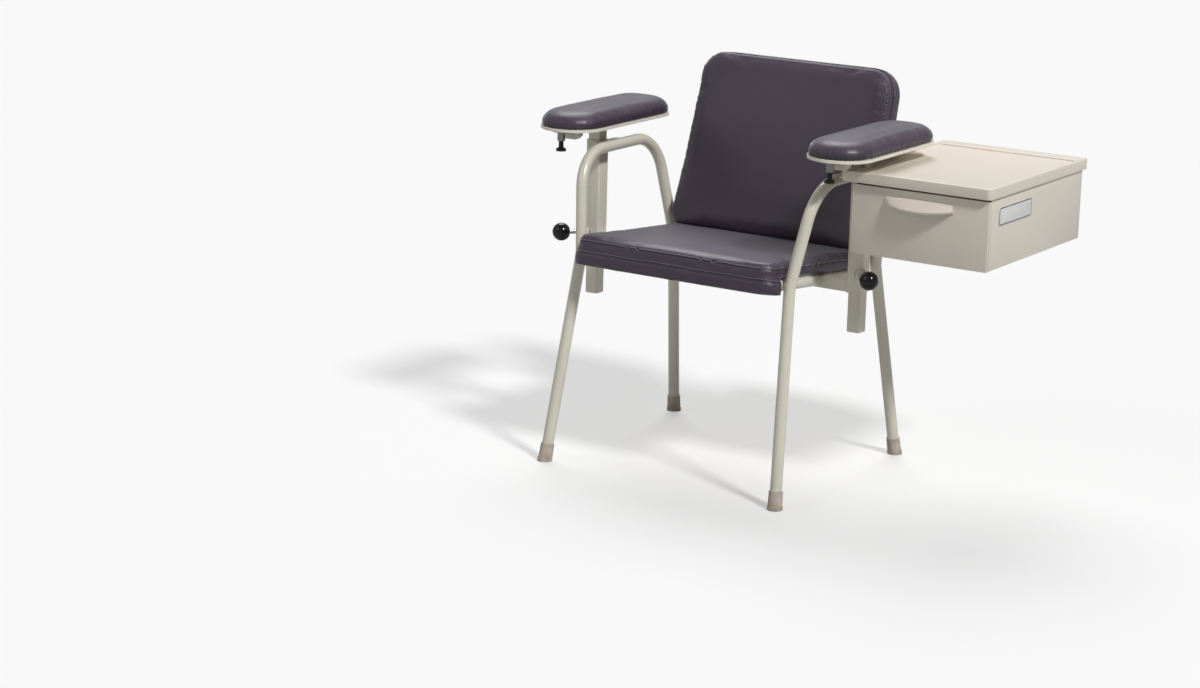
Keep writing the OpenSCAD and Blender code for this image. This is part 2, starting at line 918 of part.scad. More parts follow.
// Arm post and the long plate on it
module arm_post(side) {
    color(c_frame)
        arm_place(side)
            translate([0, 0, -plate_t - rest_gap - post_len])
                square_tube(post_w, post_wall, post_corner_r, post_len);
}
module pad_plate(side) {
    color(c_grey)
        arm_place(side)
            difference() {
                translate([0, (plate_back - plate_front) / 2, -plate_t])
                    linear_extrude(plate_t)
                        round_rect(plate_w, plate_back + plate_front, plate_w / 4);
                translate([0, pivot_y, -plate_t - over])
                    cylinder(h = plate_t + 2 * over, d = bolt_d + 2 * run_gap);
                translate([0, plunger_y, -plate_t - over])
                    cylinder(h = plate_t + 2 * over, d = collar_neck_d + 2 * run_gap);
            }
}

// Pivot block under the plate, with its bolt and nut
module pivot_block(side) {
    low = -plate_t - rest_gap - block_h;
    color(c_frame)
        arm_place(side)
            translate([0, pivot_y, low])
                difference() {
                    translate([0, block_l / 2, 0])
                        rotate([90, 0, 0])
                            linear_extrude(block_l)
                                polygon([
                                    [-block_w / 2, block_h],
                                    [-block_w / 2, block_chamfer],
                                    [-block_w / 2 + block_chamfer, 0],
                                    [block_w / 2 - block_chamfer, 0],
                                    [block_w / 2, block_chamfer],
                                    [block_w / 2, block_h]
                                ]);
                    translate([0, 0, -over])
                        cylinder(h = block_h + 2 * over, d = bolt_d + 2 * run_gap);
                    translate([0, 0, -over])
                        cylinder(h = nut_recess + over, d = nut_af / cos(30) + 2 * loose_gap);
                }
}
bolt_low = -plate_t - rest_gap - block_h + nut_recess - nut_t - bolt_past_nut;
module pivot_bolt(side) {
    top = rest_gap + pad_board_t;
    color(c_steel)
        arm_place(side)
            translate([0, pivot_y, 0]) {
                translate([0, 0, bolt_low])
                    cylinder(h = top - bolt_low - bolt_head_t / 2, d = bolt_d);
                translate([0, 0, top - bolt_head_t])
                    cylinder(h = bolt_head_t, d = bolt_head_d);
            }
}
module pivot_nut(side) {
    top = -plate_t - rest_gap - block_h + nut_recess - rest_gap;
    color(c_steel)
        arm_place(side)
            translate([0, pivot_y, top - nut_t])
                difference() {
                    cylinder(h = nut_t, d = nut_af / cos(30), $fn = 6);
                    translate([0, 0, -over])
                        cylinder(h = nut_t + 2 * over, d = bolt_d + 2 * run_gap);
                }
}

// Index plunger: a collar on the plate, a sprung pin with its pull knob
module plunger_collar(side) {
    color(c_grey)
        arm_place(side)
            translate([0, plunger_y, 0])
                difference() {
                    union() {
                        translate([0, 0, -plate_t - rest_gap - collar_h])
                            cylinder(h = collar_h, d = collar_d);
                        translate([0, 0, -plate_t - over])
                            cylinder(h = plate_t + over - rest_gap, d = collar_neck_d);
                    }
                    translate([0, 0, -plate_t - collar_h - over])
                        cylinder(h = plate_t + collar_h + 2 * over,
                            d = rod_d + 2 * run_gap);
                    translate([0, 0, -plate_t - rest_gap - collar_h + chamber_floor])
                        cylinder(h = collar_h - chamber_floor - chamber_roof,
                            d = chamber_d);
                    translate([0, 0, -plate_t - rest_gap - chamber_roof - over])
                        cylinder(h = plate_t + chamber_roof + 2 * over,
                            d = pin_d + 2 * run_gap);
                }
}
shoulder_top = -plate_t - 2 * rest_gap - chamber_roof;
spring_low = -plate_t - rest_gap - collar_h + chamber_floor + rest_gap / 2;
spring_high = shoulder_top - shoulder_t - rest_gap / 2;
module plunger(side) {
    collar_low = -plate_t - rest_gap - collar_h;
    color(c_black)
        arm_place(side)
            translate([0, plunger_y, 0]) {
                translate([0, 0, shoulder_top - shoulder_t])
                    cylinder(h = pin_rise - shoulder_top + shoulder_t, d = pin_d);
                translate([0, 0, shoulder_top - shoulder_t])
                    cylinder(h = shoulder_t, d = shoulder_d);
                translate([0, 0, -stem_end])
                    cylinder(h = stem_end + shoulder_top - shoulder_t / 2, d = rod_d);
                translate([0, 0, -stem_end])
                    cylinder(h = stem_end + collar_low - rest_gap, d = stem_d);
                translate([0, 0, -plunger_end])
                    cylinder(h = (plunger_end - stem_end) * (1 - flange_neck_share),
                        d = flange_d);
                translate([0, 0, -plunger_end
                        + (plunger_end - stem_end) * (1 - flange_neck_share)])
                    cylinder(h = (plunger_end - stem_end) * flange_neck_share,
                        d1 = flange_d, d2 = stem_d);
            }
}

// A coil of round wire from z0 to z1
module coil(z0, z1, mid_d, wire, turns) {
    steps = turns * coil_steps;
    rise = z1 - z0 - wire;
    rings = [for (i = [0:steps])
        let (a = 360 * i / coil_steps, z = z0 + wire / 2 + rise * i / steps)
        [for (k = [0:wire_sides - 1])
            let (b = 360 * k / wire_sides, r = mid_d / 2 + wire / 2 * cos(b))
            [r * cos(a), r * sin(a), z + wire / 2 * sin(b)]]];
    n = wire_sides;
    faces = concat(
        [for (i = [0:steps - 1], k = [0:n - 1]) [i * n + k, i * n + (k + 1) % n,
            (i + 1) * n + (k + 1) % n, (i + 1) * n + k]],
        [[for (k = [n - 1:-1:0]) k]],
        [[for (k = [0:n - 1]) steps * n + k]]);
    polyhedron(points = [for (r = rings) each r], faces = faces, convexity = 10);
}
module plunger_spring(side) {
    color(c_steel)
        arm_place(side)
            translate([0, plunger_y, 0])
                coil(spring_low, spring_high, (chamber_d + rod_d) / 2, wire_d, coil_count);
}

// Pad board, with the groove that the pin runs in
pad_mid_y = pad_len / 2 - pad_front;
module pad_outline(inset) {
    w = pad_w - 2 * inset;
    fr = pad_front_r - inset;
    br = pad_back_r - inset;
    y0 = -pad_front + inset;
    y1 = -pad_front + pad_len - inset;
    for (x = [-1, 1]) {
        translate([x * (w / 2 - fr), y0 + fr])
            circle(r = fr);
        translate([x * (w / 2 - br), y1 - br])
            circle(r = br);
    }
    translate([-w / 2, y0 + fr])
        square([w, y1 - br - y0 - fr]);
    translate([-w / 2 + br, y1 - 2 * br])
        square([w - 2 * br, 2 * br]);
    translate([-w / 2 + fr, y0])
        square([w - 2 * fr, 2 * fr]);
}
module pad_board(side) {
    reach = pivot_y - plunger_y;
    color(c_white)
        arm_place(side)
            difference() {
                translate([0, 0, rest_gap])
                    linear_extrude(pad_board_t)
                        pad_outline(pad_board_inset);
                translate([0, pivot_y, -over])
                    cylinder(h = pad_board_t + 2 * over, d = bolt_d + 2 * run_gap);
                translate([0, pivot_y, rest_gap + pad_board_t - bolt_head_t - rest_gap])
                    cylinder(h = bolt_head_t + over, d = bolt_head_d + 2 * loose_gap);
                translate([0, pivot_y, -over]) {
                    rotate([0, 0, -90 - groove_end_angle])
                        rotate_extrude(angle = swing_angle + 2 * groove_end_angle)
                            translate([reach - pin_d / 2 - groove_gap, 0])
                                square([pin_d + 2 * groove_gap,
                                    over + rest_gap + groove_depth]);
                }
                for (a = [-90, swing_angle - 90])
                    translate([0, pivot_y, -over])
                        rotate([0, 0, a])
                            translate([reach, 0, 0])
                                cylinder(h = over + rest_gap + groove_depth,
                                    d = pin_d + 2 * groove_gap);
            }
}

// Arm pad: a crowned pad with a fold line above its board
pad_shape = [pad_w / 2, -pad_front, -pad_front + pad_len, pad_front_r, pad_back_r,
    pad_crown, 0];
pad_low = rest_gap + pad_board_t + rest_gap;
pad_top = pad_low + pad_h - pad_crown;
pad_levels = [
    [4 * soft, 0.5, pad_low, 0],
    [4 * soft, 0.96, pad_low, 0],
    [soft, 1, pad_low, 0],
    [0, 1, pad_low + soft, 0],
    [0, 1, pad_low + 6 * soft, 0],
    [0.6 * soft, 1, pad_low + 11 * soft, 0],
    [2.5 * soft, 1, pad_low + 16 * soft, 0],
    [6.5 * soft, 1, pad_low + 21.5 * soft, 0],
    [13 * soft, 1, pad_low + 26.5 * soft, 0],
    [22 * soft, 1, pad_low + 30 * soft, 0.2],
    [34 * soft, 1, pad_top - 2 * soft, 0.6],
    [34 * soft, 0.8, pad_top - soft, 0.85],
    [34 * soft, 0.5, pad_top, 1]
];
module arm_pad(side) {
    color(c_vinyl)
        arm_place(side)
            ring_form(pad_shape, pad_levels);
}

// Cabinet: mounting plate on the sleeve, shell, top
plate_y0 = arm_y - sleeve_w / 2;
plate_mid_z = (shell_z0 + shell_z1) / 2;
bolt_ys = [plate_y0 + sleeve_w + mount_bolt_inset, plate_y0 + mount_plate_l - mount_bolt_inset];
bolt_zs = [plate_mid_z - mount_plate_h / 2 + mount_bolt_inset,
    plate_mid_z + mount_plate_h / 2 - mount_bolt_inset];
module mount_bolt_places() {
    for (y = bolt_ys, z = bolt_zs)
        translate([shell_x0, y, z])
            rotate([0, 90, 0])
                children();
}
module cabinet_mount_plate() {
    x0 = arm_x + sleeve_w / 2 + rest_gap;
    color(c_frame)
        difference() {
            translate([x0, plate_y0, plate_mid_z - mount_plate_h / 2])
                cube([shell_x0 - rest_gap - x0, mount_plate_l, mount_plate_h]);
            mount_bolt_places()
                translate([0, 0, -mount_plate_t - over])
                    cylinder(h = mount_plate_t + 2 * over,
                        d = mount_bolt_d + 2 * run_gap);
        }
}
module cabinet_bolts() {
    color(c_steel)
        mount_bolt_places() {
            translate([0, 0, -mount_plate_t])
                cylinder(h = mount_plate_t + sheet + mount_head_t, d = mount_bolt_d);
            translate([0, 0, sheet + rest_gap])
                cylinder(h = mount_head_t, d = mount_head_d);
        }
}
slide_len_y0 = shell_y0 + slide_set_back;
module shell_screw_places() {
    for (y = [slide_len_y0 + shell_screw_inset, slide_len_y0 + slide_len - shell_screw_inset])
        translate([0, y, slide_z])
            children();
}
module cabinet_shell() {
    color(c_beige)
        difference() {
            translate([shell_x0, shell_y0, shell_z0])
                cube([shell_x1 - shell_x0, shell_depth, shell_z1 - shell_z0]);
            translate([shell_x0 + sheet, shell_y0 - over, shell_z0 + sheet])
                cube([shell_x1 - shell_x0 - 2 * sheet, shell_depth - sheet + over,
                    shell_z1 - shell_z0 - 2 * sheet]);
            mount_bolt_places()
                translate([0, 0, -over])
                    cylinder(h = sheet + 2 * over, d = mount_bolt_d + 2 * loose_gap);
        }
}
module cabinet_top() {
    lid_w = lid_x1 - lid_x0;
    color(c_beige)
        difference() {
            union() {
                translate([lid_x0 + lid_w / 2, lid_y0 + top_depth / 2, lid_z0])
                    linear_extrude(top_thick)
                        round_rect(lid_w, top_depth, lid_corner_r);
                translate([shell_x0 + lid_plinth_inset, shell_y0 + lid_plinth_inset,
                        shell_z1 + rest_gap])
                    cube([shell_x1 - shell_x0 - 2 * lid_plinth_inset,
                        shell_depth - 2 * lid_plinth_inset,
                        lid_z0 - shell_z1 + over - rest_gap]);
            }
            translate([lid_x0 + lid_w / 2,
                    lid_y0 + (top_depth - lid_back_rim + lid_rim) / 2,
                    lid_z0 + top_thick - lid_recess])
                linear_extrude(lid_recess + over)
                    round_rect(lid_w - 2 * lid_rim, top_depth - lid_back_rim - lid_rim,
                        lid_corner_r);
            translate([lid_x0 - over, arm_y - post_w / 2 - notch_gap, lid_z0 - over])
                cube([arm_x + post_w / 2 + notch_gap - lid_x0 + over,
                    post_w + 2 * notch_gap, top_thick + 2 * over]);
        }
}

// Drawer slides: channels on the shell's walls, rails on the drawer's sides
box_x0 = shell_x0 + sheet + slide_t;
box_x1 = shell_x1 - sheet - slide_t;
module each_slide() {
    translate([shell_x0 + sheet + rest_gap, slide_len_y0, slide_z])
        children();
    translate([shell_x1 - sheet - rest_gap, slide_len_y0, slide_z])
        mirror([1, 0, 0])
            children();
}
module slide_channels() {
    lip = (slide_h - slide_inner_h) / 2 - slide_wall - loose_gap;
    color(c_steel)
        each_slide()
            rotate([-90, 0, 0])
                mirror([0, 1, 0])
                    linear_extrude(slide_len)
                        polygon([
                            [0, -slide_h / 2], [slide_t - 3, -slide_h / 2],
                            [slide_t - 3, -slide_h / 2 + slide_wall + lip],
                            [slide_t - 3 - slide_wall, -slide_h / 2 + slide_wall + lip],
                            [slide_t - 3 - slide_wall, -slide_h / 2 + slide_wall],
                            [slide_wall, -slide_h / 2 + slide_wall],
                            [slide_wall, slide_h / 2 - slide_wall],
                            [slide_t - 3 - slide_wall, slide_h / 2 - slide_wall],
                            [slide_t - 3 - slide_wall, slide_h / 2 - slide_wall - lip],
                            [slide_t - 3, slide_h / 2 - slide_wall - lip],
                            [slide_t - 3, slide_h / 2], [0, slide_h / 2]
                        ]);
}
module slide_rails() {
    color(c_steel)
        each_slide()
            translate([slide_wall + loose_gap, 0, -slide_inner_h / 2])
                difference() {
                    cube([slide_t - 2 * rest_gap - slide_wall - loose_gap, slide_len,
                        slide_inner_h]);
                    translate([slide_wall, -over, slide_wall])
                        cube([slide_t - 2 * rest_gap - 3 * slide_wall - loose_gap,
                            slide_len + 2 * over, slide_inner_h - 2 * slide_wall]);
                }
}

// Drawer: an open box, its front and its handle
module drawer_box() {
    color(c_beige)
        translate([box_x0, shell_y0, box_z0])
            difference() {
                cube([box_x1 - box_x0, box_len, box_h]);
                translate([sheet, sheet, sheet])
                    cube([box_x1 - box_x0 - 2 * sheet, box_len - 2 * sheet, box_h]);
                drawer_screw_places()
                    translate([0, 0, -over])
                        cylinder(h = sheet + 2 * over, d = screw2_d + 2 * run_gap);
            }
}
module drawer_screw_places() {
    for (x = [-1, 1], z = [box_h * 0.25, box_h * 0.8])
        translate([(box_x1 - box_x0) / 2 + x * (box_x1 - box_x0) * 0.38, 0, z])
            rotate([-90, 0, 0])
                children();
}
module drawer_screws() {
    color(c_steel)
        translate([box_x0, shell_y0, box_z0])
            drawer_screw_places() {
                translate([0, 0, -front_gap - 4])
                    cylinder(h = front_gap + 4 + sheet + screw2_head_t, d = screw2_d);
                translate([0, 0, sheet + rest_gap])
                    cylinder(h = screw2_head_t, d = screw2_head_d);
            }
}
module drawer_front() {
    rib_x = (box_x1 - box_x0) * 0.38;
    mid_x = (box_x0 + box_x1) / 2;
    color(c_beige)
        difference() {
            union() {
                difference() {
                    translate([front_left_x, -front_y, front_bottom])
                        cube([front_w, front_t, front_h]);
                    translate([front_left_x + sheet, -front_y + sheet,
                            front_bottom + sheet])
                        cube([front_w - 2 * sheet, front_t, front_h - 2 * sheet]);
                }
                for (x = [-1, 1])
                    translate([mid_x + x * rib_x - front_rib_w / 2, -front_y + sheet / 2,
                            box_z0])
                        cube([front_rib_w, shell_y0 - rest_gap + front_y - sheet / 2,
                            box_h]);
            }
            translate([box_x0, shell_y0, box_z0])
                drawer_screw_places()
                    translate([0, 0, -front_gap - 4 - rest_gap])
                        cylinder(h = front_gap + 4 + over, d = screw2_d + 2 * run_gap);
        }
}
handle_r = (pow(handle_w / 2, 2) + pow(handle_bow, 2)) / (2 * handle_bow);
module drawer_handle() {
    half = asin(handle_w / 2 / handle_r);
    cx = front_left_x + front_w / 2;
    face = -front_y - rest_gap;
    color(c_beige)
        difference() {
            translate([cx, face - handle_bow + handle_r, handle_z])
                rotate([0, 0, 270 - half - handle_turn])
                    rotate_extrude(angle = 2 * (half + handle_turn))
                        polygon([
                            [handle_r - handle_t, -handle_h / 2],
                            [handle_r, -handle_h / 2],
                            [handle_r, -handle_h / 2 + handle_lip],
                            [handle_r - handle_t - handle_web, handle_h / 2],
                            [handle_r - handle_t - handle_web, handle_h / 2 - handle_t],
                            [handle_r - handle_t, -handle_h / 2 + handle_lip - handle_t / 2]
                        ]);
            translate([cx - handle_w, face, handle_z - handle_h])
                cube([2 * handle_w, handle_w, 2 * handle_h]);
        }
}

// Nodes
placed() {
    side_frame(1);  // side_frame_left
    side_frame(-1);  // side_frame_right
    rubber_tips();
    seat_rail(1);  // seat_rail_left
    seat_rail(-1);  // seat_rail_right
    front_crossbar();
    rear_crossbar();
    back_top_crossbar();
    mounting_tabs();
    cushion_screws();
    seat_board();
    seat_cushion();
    back_board();
    back_cushion();
    arm_sleeve(1);  // arm_sleeve_left
    arm_sleeve(-1);  // arm_sleeve_right
    upper_bracket(1);  // upper_bracket_left
    upper_bracket(-1);  // upper_bracket_right
    lower_bracket(1);  // lower_bracket_left
    lower_bracket(-1);  // lower_bracket_right
    clamp_boss(1);  // clamp_boss_left
    clamp_boss(-1);  // clamp_boss_right
    clamp_stud(1);  // clamp_stud_left
    clamp_stud(-1);  // clamp_stud_right
    ball_knob(1);  // ball_knob_left
    ball_knob(-1);  // ball_knob_right
    arm_post(1);  // arm_post_left
    arm_post(-1);  // arm_post_right
    pad_plate(1);  // pad_plate_left
    pad_plate(-1);  // pad_plate_right
    pivot_block(1);  // pivot_block_left
    pivot_block(-1);  // pivot_block_right
    pivot_bolt(1);  // pivot_bolt_left
    pivot_bolt(-1);  // pivot_bolt_right
    pivot_nut(1);  // pivot_nut_left
    pivot_nut(-1);  // pivot_nut_right
    plunger_collar(1);  // plunger_collar_left
    plunger_collar(-1);  // plunger_collar_right
    plunger(1);  // plunger_left
    plunger(-1);  // plunger_right
    plunger_spring(1);  // plunger_spring_left
    plunger_spring(-1);  // plunger_spring_right
    pad_board(1);  // pad_board_left
    pad_board(-1);  // pad_board_right
    arm_pad(1);  // arm_pad_left
    arm_pad(-1);  // arm_pad_right
    cabinet_mount_plate();
    cabinet_bolts();
    cabinet_shell();
    cabinet_top();
    slide_channels();
    slide_rails();
    drawer_box();
    drawer_front();
    drawer_screws();
    drawer_handle();
}
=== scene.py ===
"""Dresses the phlebotomy chair: finishes, padded covers, trim, light and camera."""

from __future__ import annotations

import json
import logging
import math
from contextlib import contextmanager
from dataclasses import dataclass, field
from enum import Enum
from typing import Callable, Iterator, Sequence

import bmesh
import bpy
from mathutils import Matrix, Quaternion, Vector, noise
from mathutils.bvhtree import BVHTree
from mathutils.kdtree import KDTree

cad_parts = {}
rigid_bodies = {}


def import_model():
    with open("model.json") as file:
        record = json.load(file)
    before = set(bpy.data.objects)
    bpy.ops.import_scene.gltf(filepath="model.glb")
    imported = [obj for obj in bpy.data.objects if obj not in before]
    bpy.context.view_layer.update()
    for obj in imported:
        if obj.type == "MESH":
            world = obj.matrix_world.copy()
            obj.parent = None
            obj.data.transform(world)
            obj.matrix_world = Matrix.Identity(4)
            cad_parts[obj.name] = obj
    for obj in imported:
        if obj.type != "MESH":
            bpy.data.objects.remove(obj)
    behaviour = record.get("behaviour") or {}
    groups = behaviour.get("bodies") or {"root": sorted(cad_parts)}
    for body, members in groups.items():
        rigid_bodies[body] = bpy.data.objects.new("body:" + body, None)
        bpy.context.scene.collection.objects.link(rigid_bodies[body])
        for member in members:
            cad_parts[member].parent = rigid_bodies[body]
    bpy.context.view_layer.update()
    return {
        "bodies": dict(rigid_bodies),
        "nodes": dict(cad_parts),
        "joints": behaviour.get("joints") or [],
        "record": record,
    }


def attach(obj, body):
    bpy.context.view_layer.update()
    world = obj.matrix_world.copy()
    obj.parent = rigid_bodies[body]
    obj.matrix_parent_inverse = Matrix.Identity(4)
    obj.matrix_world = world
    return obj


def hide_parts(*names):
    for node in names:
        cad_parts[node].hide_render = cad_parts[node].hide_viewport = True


log = logging.getLogger("phlebotomy_chair")

Colour = tuple[float, float, float, float]

MM_PER_M = 1000

# The drawings put zero at the middle of the seat; the shared frame is shifted by this much, in mm
SHIFT_X = 130.065
SHIFT_Y = 40.75

# Where an arm's post stands beside the seat, and how high its clamp is, in mm
ARM_X = 332.1
ARM_Y = -20.9
CLAMP_Z = 467.0


def chair_point(x: float, y: float, z: float) -> Vector:
    """Turns a place in the chair's drawing into the shared frame.

    Args:
        x: Millimetres towards the sitter's left.
        y: Millimetres towards the back.
        z: Millimetres above the floor.

    Returns:
        The place in metres.
    """
    return Vector(((x - SHIFT_X) / MM_PER_M, (y - SHIFT_Y) / MM_PER_M, z / MM_PER_M))


def srgb(red: int, green: int, blue: int) -> Colour:
    """Turns a 0 to 255 screen colour into Blender's linear colour.

    Args:
        red: Screen red.
        green: Screen green.
        blue: Screen blue.

    Returns:
        Linear red, green, blue and an alpha of 1.
    """
    def linear(level: float) -> float:
        """Undoes the screen curve for one channel.

        Args:
            level: The channel's screen value, 0 to 255.

        Returns:
            Its linear value.
        """
        level /= 255
        return level / 12.92 if level <= 0.04045 else ((level + 0.055) / 1.055) ** 2.4

    return (linear(red), linear(green), linear(blue), 1.0)


class Side(Enum):
    """The sitter's two sides."""

    LEFT = 1
    RIGHT = -1

    @property
    def word(self) -> str:
        """The side's name as the nodes have it."""
        return self.name.lower()


# Selecting, shaping and finishing

# Points closer than this are one, in a made piece and in a copied node, in metres
SAME_POINT = 1e-6
SAME_CORNER = 2e-5


def deselect() -> None:
    """Leaves edit mode and selects nothing."""
    if bpy.context.object and bpy.context.object.mode != "OBJECT":
        bpy.ops.object.mode_set(mode="OBJECT")
    bpy.ops.object.select_all(action="DESELECT")


def only(piece: bpy.types.Object) -> None:
    """Selects one piece alone and makes it active.

    Args:
        piece: The piece.
    """
    deselect()
    piece.select_set(True)
    bpy.context.view_layer.objects.active = piece


@contextmanager
def editing(piece: bpy.types.Object, mode: str = "FACE") -> Iterator[None]:
    """Opens a piece in edit mode with nothing selected, and closes it again.

    Args:
        piece: The mesh to edit.
        mode: VERT, EDGE or FACE.
    """
    only(piece)
    bpy.ops.object.mode_set(mode="EDIT")
    bpy.ops.mesh.select_mode(type=mode)
    bpy.ops.mesh.select_all(action="DESELECT")
    yield
    bpy.ops.object.mode_set(mode="OBJECT")


def pick_faces(piece: bpy.types.Object, test: Callable[[bmesh.types.BMFace], bool]) -> int:
    """Selects the faces that pass a test, in edit mode.

    Args:
        piece: The mesh in edit mode.
        test: Says whether a face is wanted.

    Returns:
        How many faces are selected.
    """
    mesh = bmesh.from_edit_mesh(piece.data)
    count = 0
    for face in mesh.faces:
        wanted = bool(test(face))
        face.select_set(wanted)
        count += wanted
    mesh.select_flush_mode()
    bmesh.update_edit_mesh(piece.data)
    return count


def pick_edges(piece: bpy.types.Object, test: Callable[[bmesh.types.BMEdge], bool]) -> int:
    """Selects the edges that pass a test, in edit mode.

    Args:
        piece: The mesh in edit mode.
        test: Says whether an edge is wanted.

    Returns:
        How many edges are selected.
    """
    mesh = bmesh.from_edit_mesh(piece.data)
    count = 0
    for edge in mesh.edges:
        wanted = bool(test(edge))
        edge.select_set(wanted)
        count += wanted
    bmesh.update_edit_mesh(piece.data)
    return count


def add_modifier(piece: bpy.types.Object, kind: str, **values: object) -> bpy.types.Modifier:
    """Adds a modifier with its values.

    Args:
        piece: The mesh.
        kind: Blender's modifier type.
        values: The modifier's settings by name.

    Returns:
        The new modifier.
    """
    modifier = piece.modifiers.new(kind.title(), kind)
    for name, value in values.items():
        setattr(modifier, name, value)
    return modifier


def apply_modifiers(piece: bpy.types.Object) -> None:
    """Applies every modifier of a piece in order.

    Args:
        piece: The piece.
    """
    only(piece)
    for modifier in list(piece.modifiers):
        bpy.ops.object.modifier_apply(modifier=modifier.name)


def settle(piece: bpy.types.Object, angle: float = 35.0) -> None:
    """Puts a piece's place into its mesh, merges doubles, turns faces outwards and smooths it.

    Args:
        piece: The mesh.
        angle: Edges sharper than this many degrees stay crisp.
    """
    only(piece)
    bpy.ops.object.transform_apply(location=True, rotation=True, scale=True)
    bpy.ops.object.mode_set(mode="EDIT")
    bpy.ops.mesh.select_all(action="SELECT")
    bpy.ops.mesh.remove_doubles(threshold=SAME_POINT)
    bpy.ops.mesh.normals_make_consistent(inside=False)
    bpy.ops.object.mode_set(mode="OBJECT")
    bpy.ops.object.shade_smooth_by_angle(angle=math.radians(angle))


def join(name: str, pieces: Sequence[bpy.types.Object]) -> bpy.types.Object:
    """Joins meshes into one piece.

    Args:
        name: The joined piece's name.
        pieces: The meshes.

    Returns:
        The joined piece.
    """
    deselect()
    for piece in pieces:
        piece.select_set(True)
    bpy.context.view_layer.objects.active = pieces[0]
    if len(pieces) > 1:
        bpy.ops.object.join()
    joined = bpy.context.object
    joined.name = name
    joined.data.name = name
    return joined


def dress(piece: bpy.types.Object, finish: bpy.types.Material) -> None:
    """Gives every face of a piece one finish.

    Args:
        piece: The mesh.
        finish: Its only material.
    """
    piece.data.materials.clear()
    piece.data.materials.append(finish)


def hand_over(
    piece: bpy.types.Object,
    finish: bpy.types.Material,
    body: str,
    replaces: Sequence[str] = (),
) -> None:
    """Dresses a finished piece and ties it to the frame.

    Args:
        piece: The finished mesh.
        finish: Its material.
        body: The body that it moves with.
        replaces: Nodes that it stands for.
    """
    dress(piece, finish)
    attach(piece, body)
    if replaces:
        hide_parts(*replaces)
    log.info("piece %s: %d faces, rides on %s", piece.name, len(piece.data.polygons), body)


def copy_node(node: bpy.types.Object, name: str) -> bpy.types.Object:
    """Copies a node's mesh into a new merged object.

    Args:
        node: The node's object.
        name: The copy's name.

    Returns:
        The copy, with doubles merged.
    """
    twin = bpy.data.objects.new(name, node.data.copy())
    bpy.context.scene.collection.objects.link(twin)
    twin.data.materials.clear()
    only(twin)
    bpy.ops.object.mode_set(mode="EDIT")
    bpy.ops.mesh.select_all(action="SELECT")
    bpy.ops.mesh.remove_doubles(threshold=SAME_CORNER)
    bpy.ops.object.mode_set(mode="OBJECT")
    return twin


def round_cord(
    name: str,
    path: Sequence[Vector],
    radius: float,
    closed: bool = True,
    steps: int = 3,
    swell: Sequence[float] = (),
) -> bpy.types.Object:
    """Makes a round cord mesh along a path.

    Args:
        name: The piece's name.
        path: Points in metres.
        radius: The cord's radius in metres.
        closed: Whether the path is a loop.
        steps: Roundness of the section.
        swell: The radius at each point, as a share of the cord's.

    Returns:
        The cord as a mesh.
    """
    curve = bpy.data.curves.new(name, "CURVE")
    curve.dimensions = "3D"
    curve.bevel_depth = radius
    curve.bevel_resolution = steps
    curve.use_fill_caps = True
    line = curve.splines.new("POLY")
    line.points.add(len(path) - 1)
    for slot, place in zip(line.points, path):
        slot.co = (*place, 1)
    for slot, share in zip(line.points, swell):
        slot.radius = share
    line.use_cyclic_u = closed
    line.use_smooth = True
    made = bpy.data.objects.new(name, curve)
    bpy.context.scene.collection.objects.link(made)
    only(made)
    bpy.ops.object.convert(target="MESH")
    made = bpy.context.object
    settle(made, 60)
    return made


# Shader helpers


def new_socket(
    group: bpy.types.NodeTree, name: str, way: str, kind: str, value: object = None
) -> None:
    """Adds one named socket to a node group.

    Args:
        group: The group.
        name: The socket's name.
        way: INPUT or OUTPUT.
        kind: The socket's type.
        value: Its default value.
    """
    socket = group.interface.new_socket(name=name, in_out=way, socket_type=kind)
    if value is not None:
        socket.default_value = value


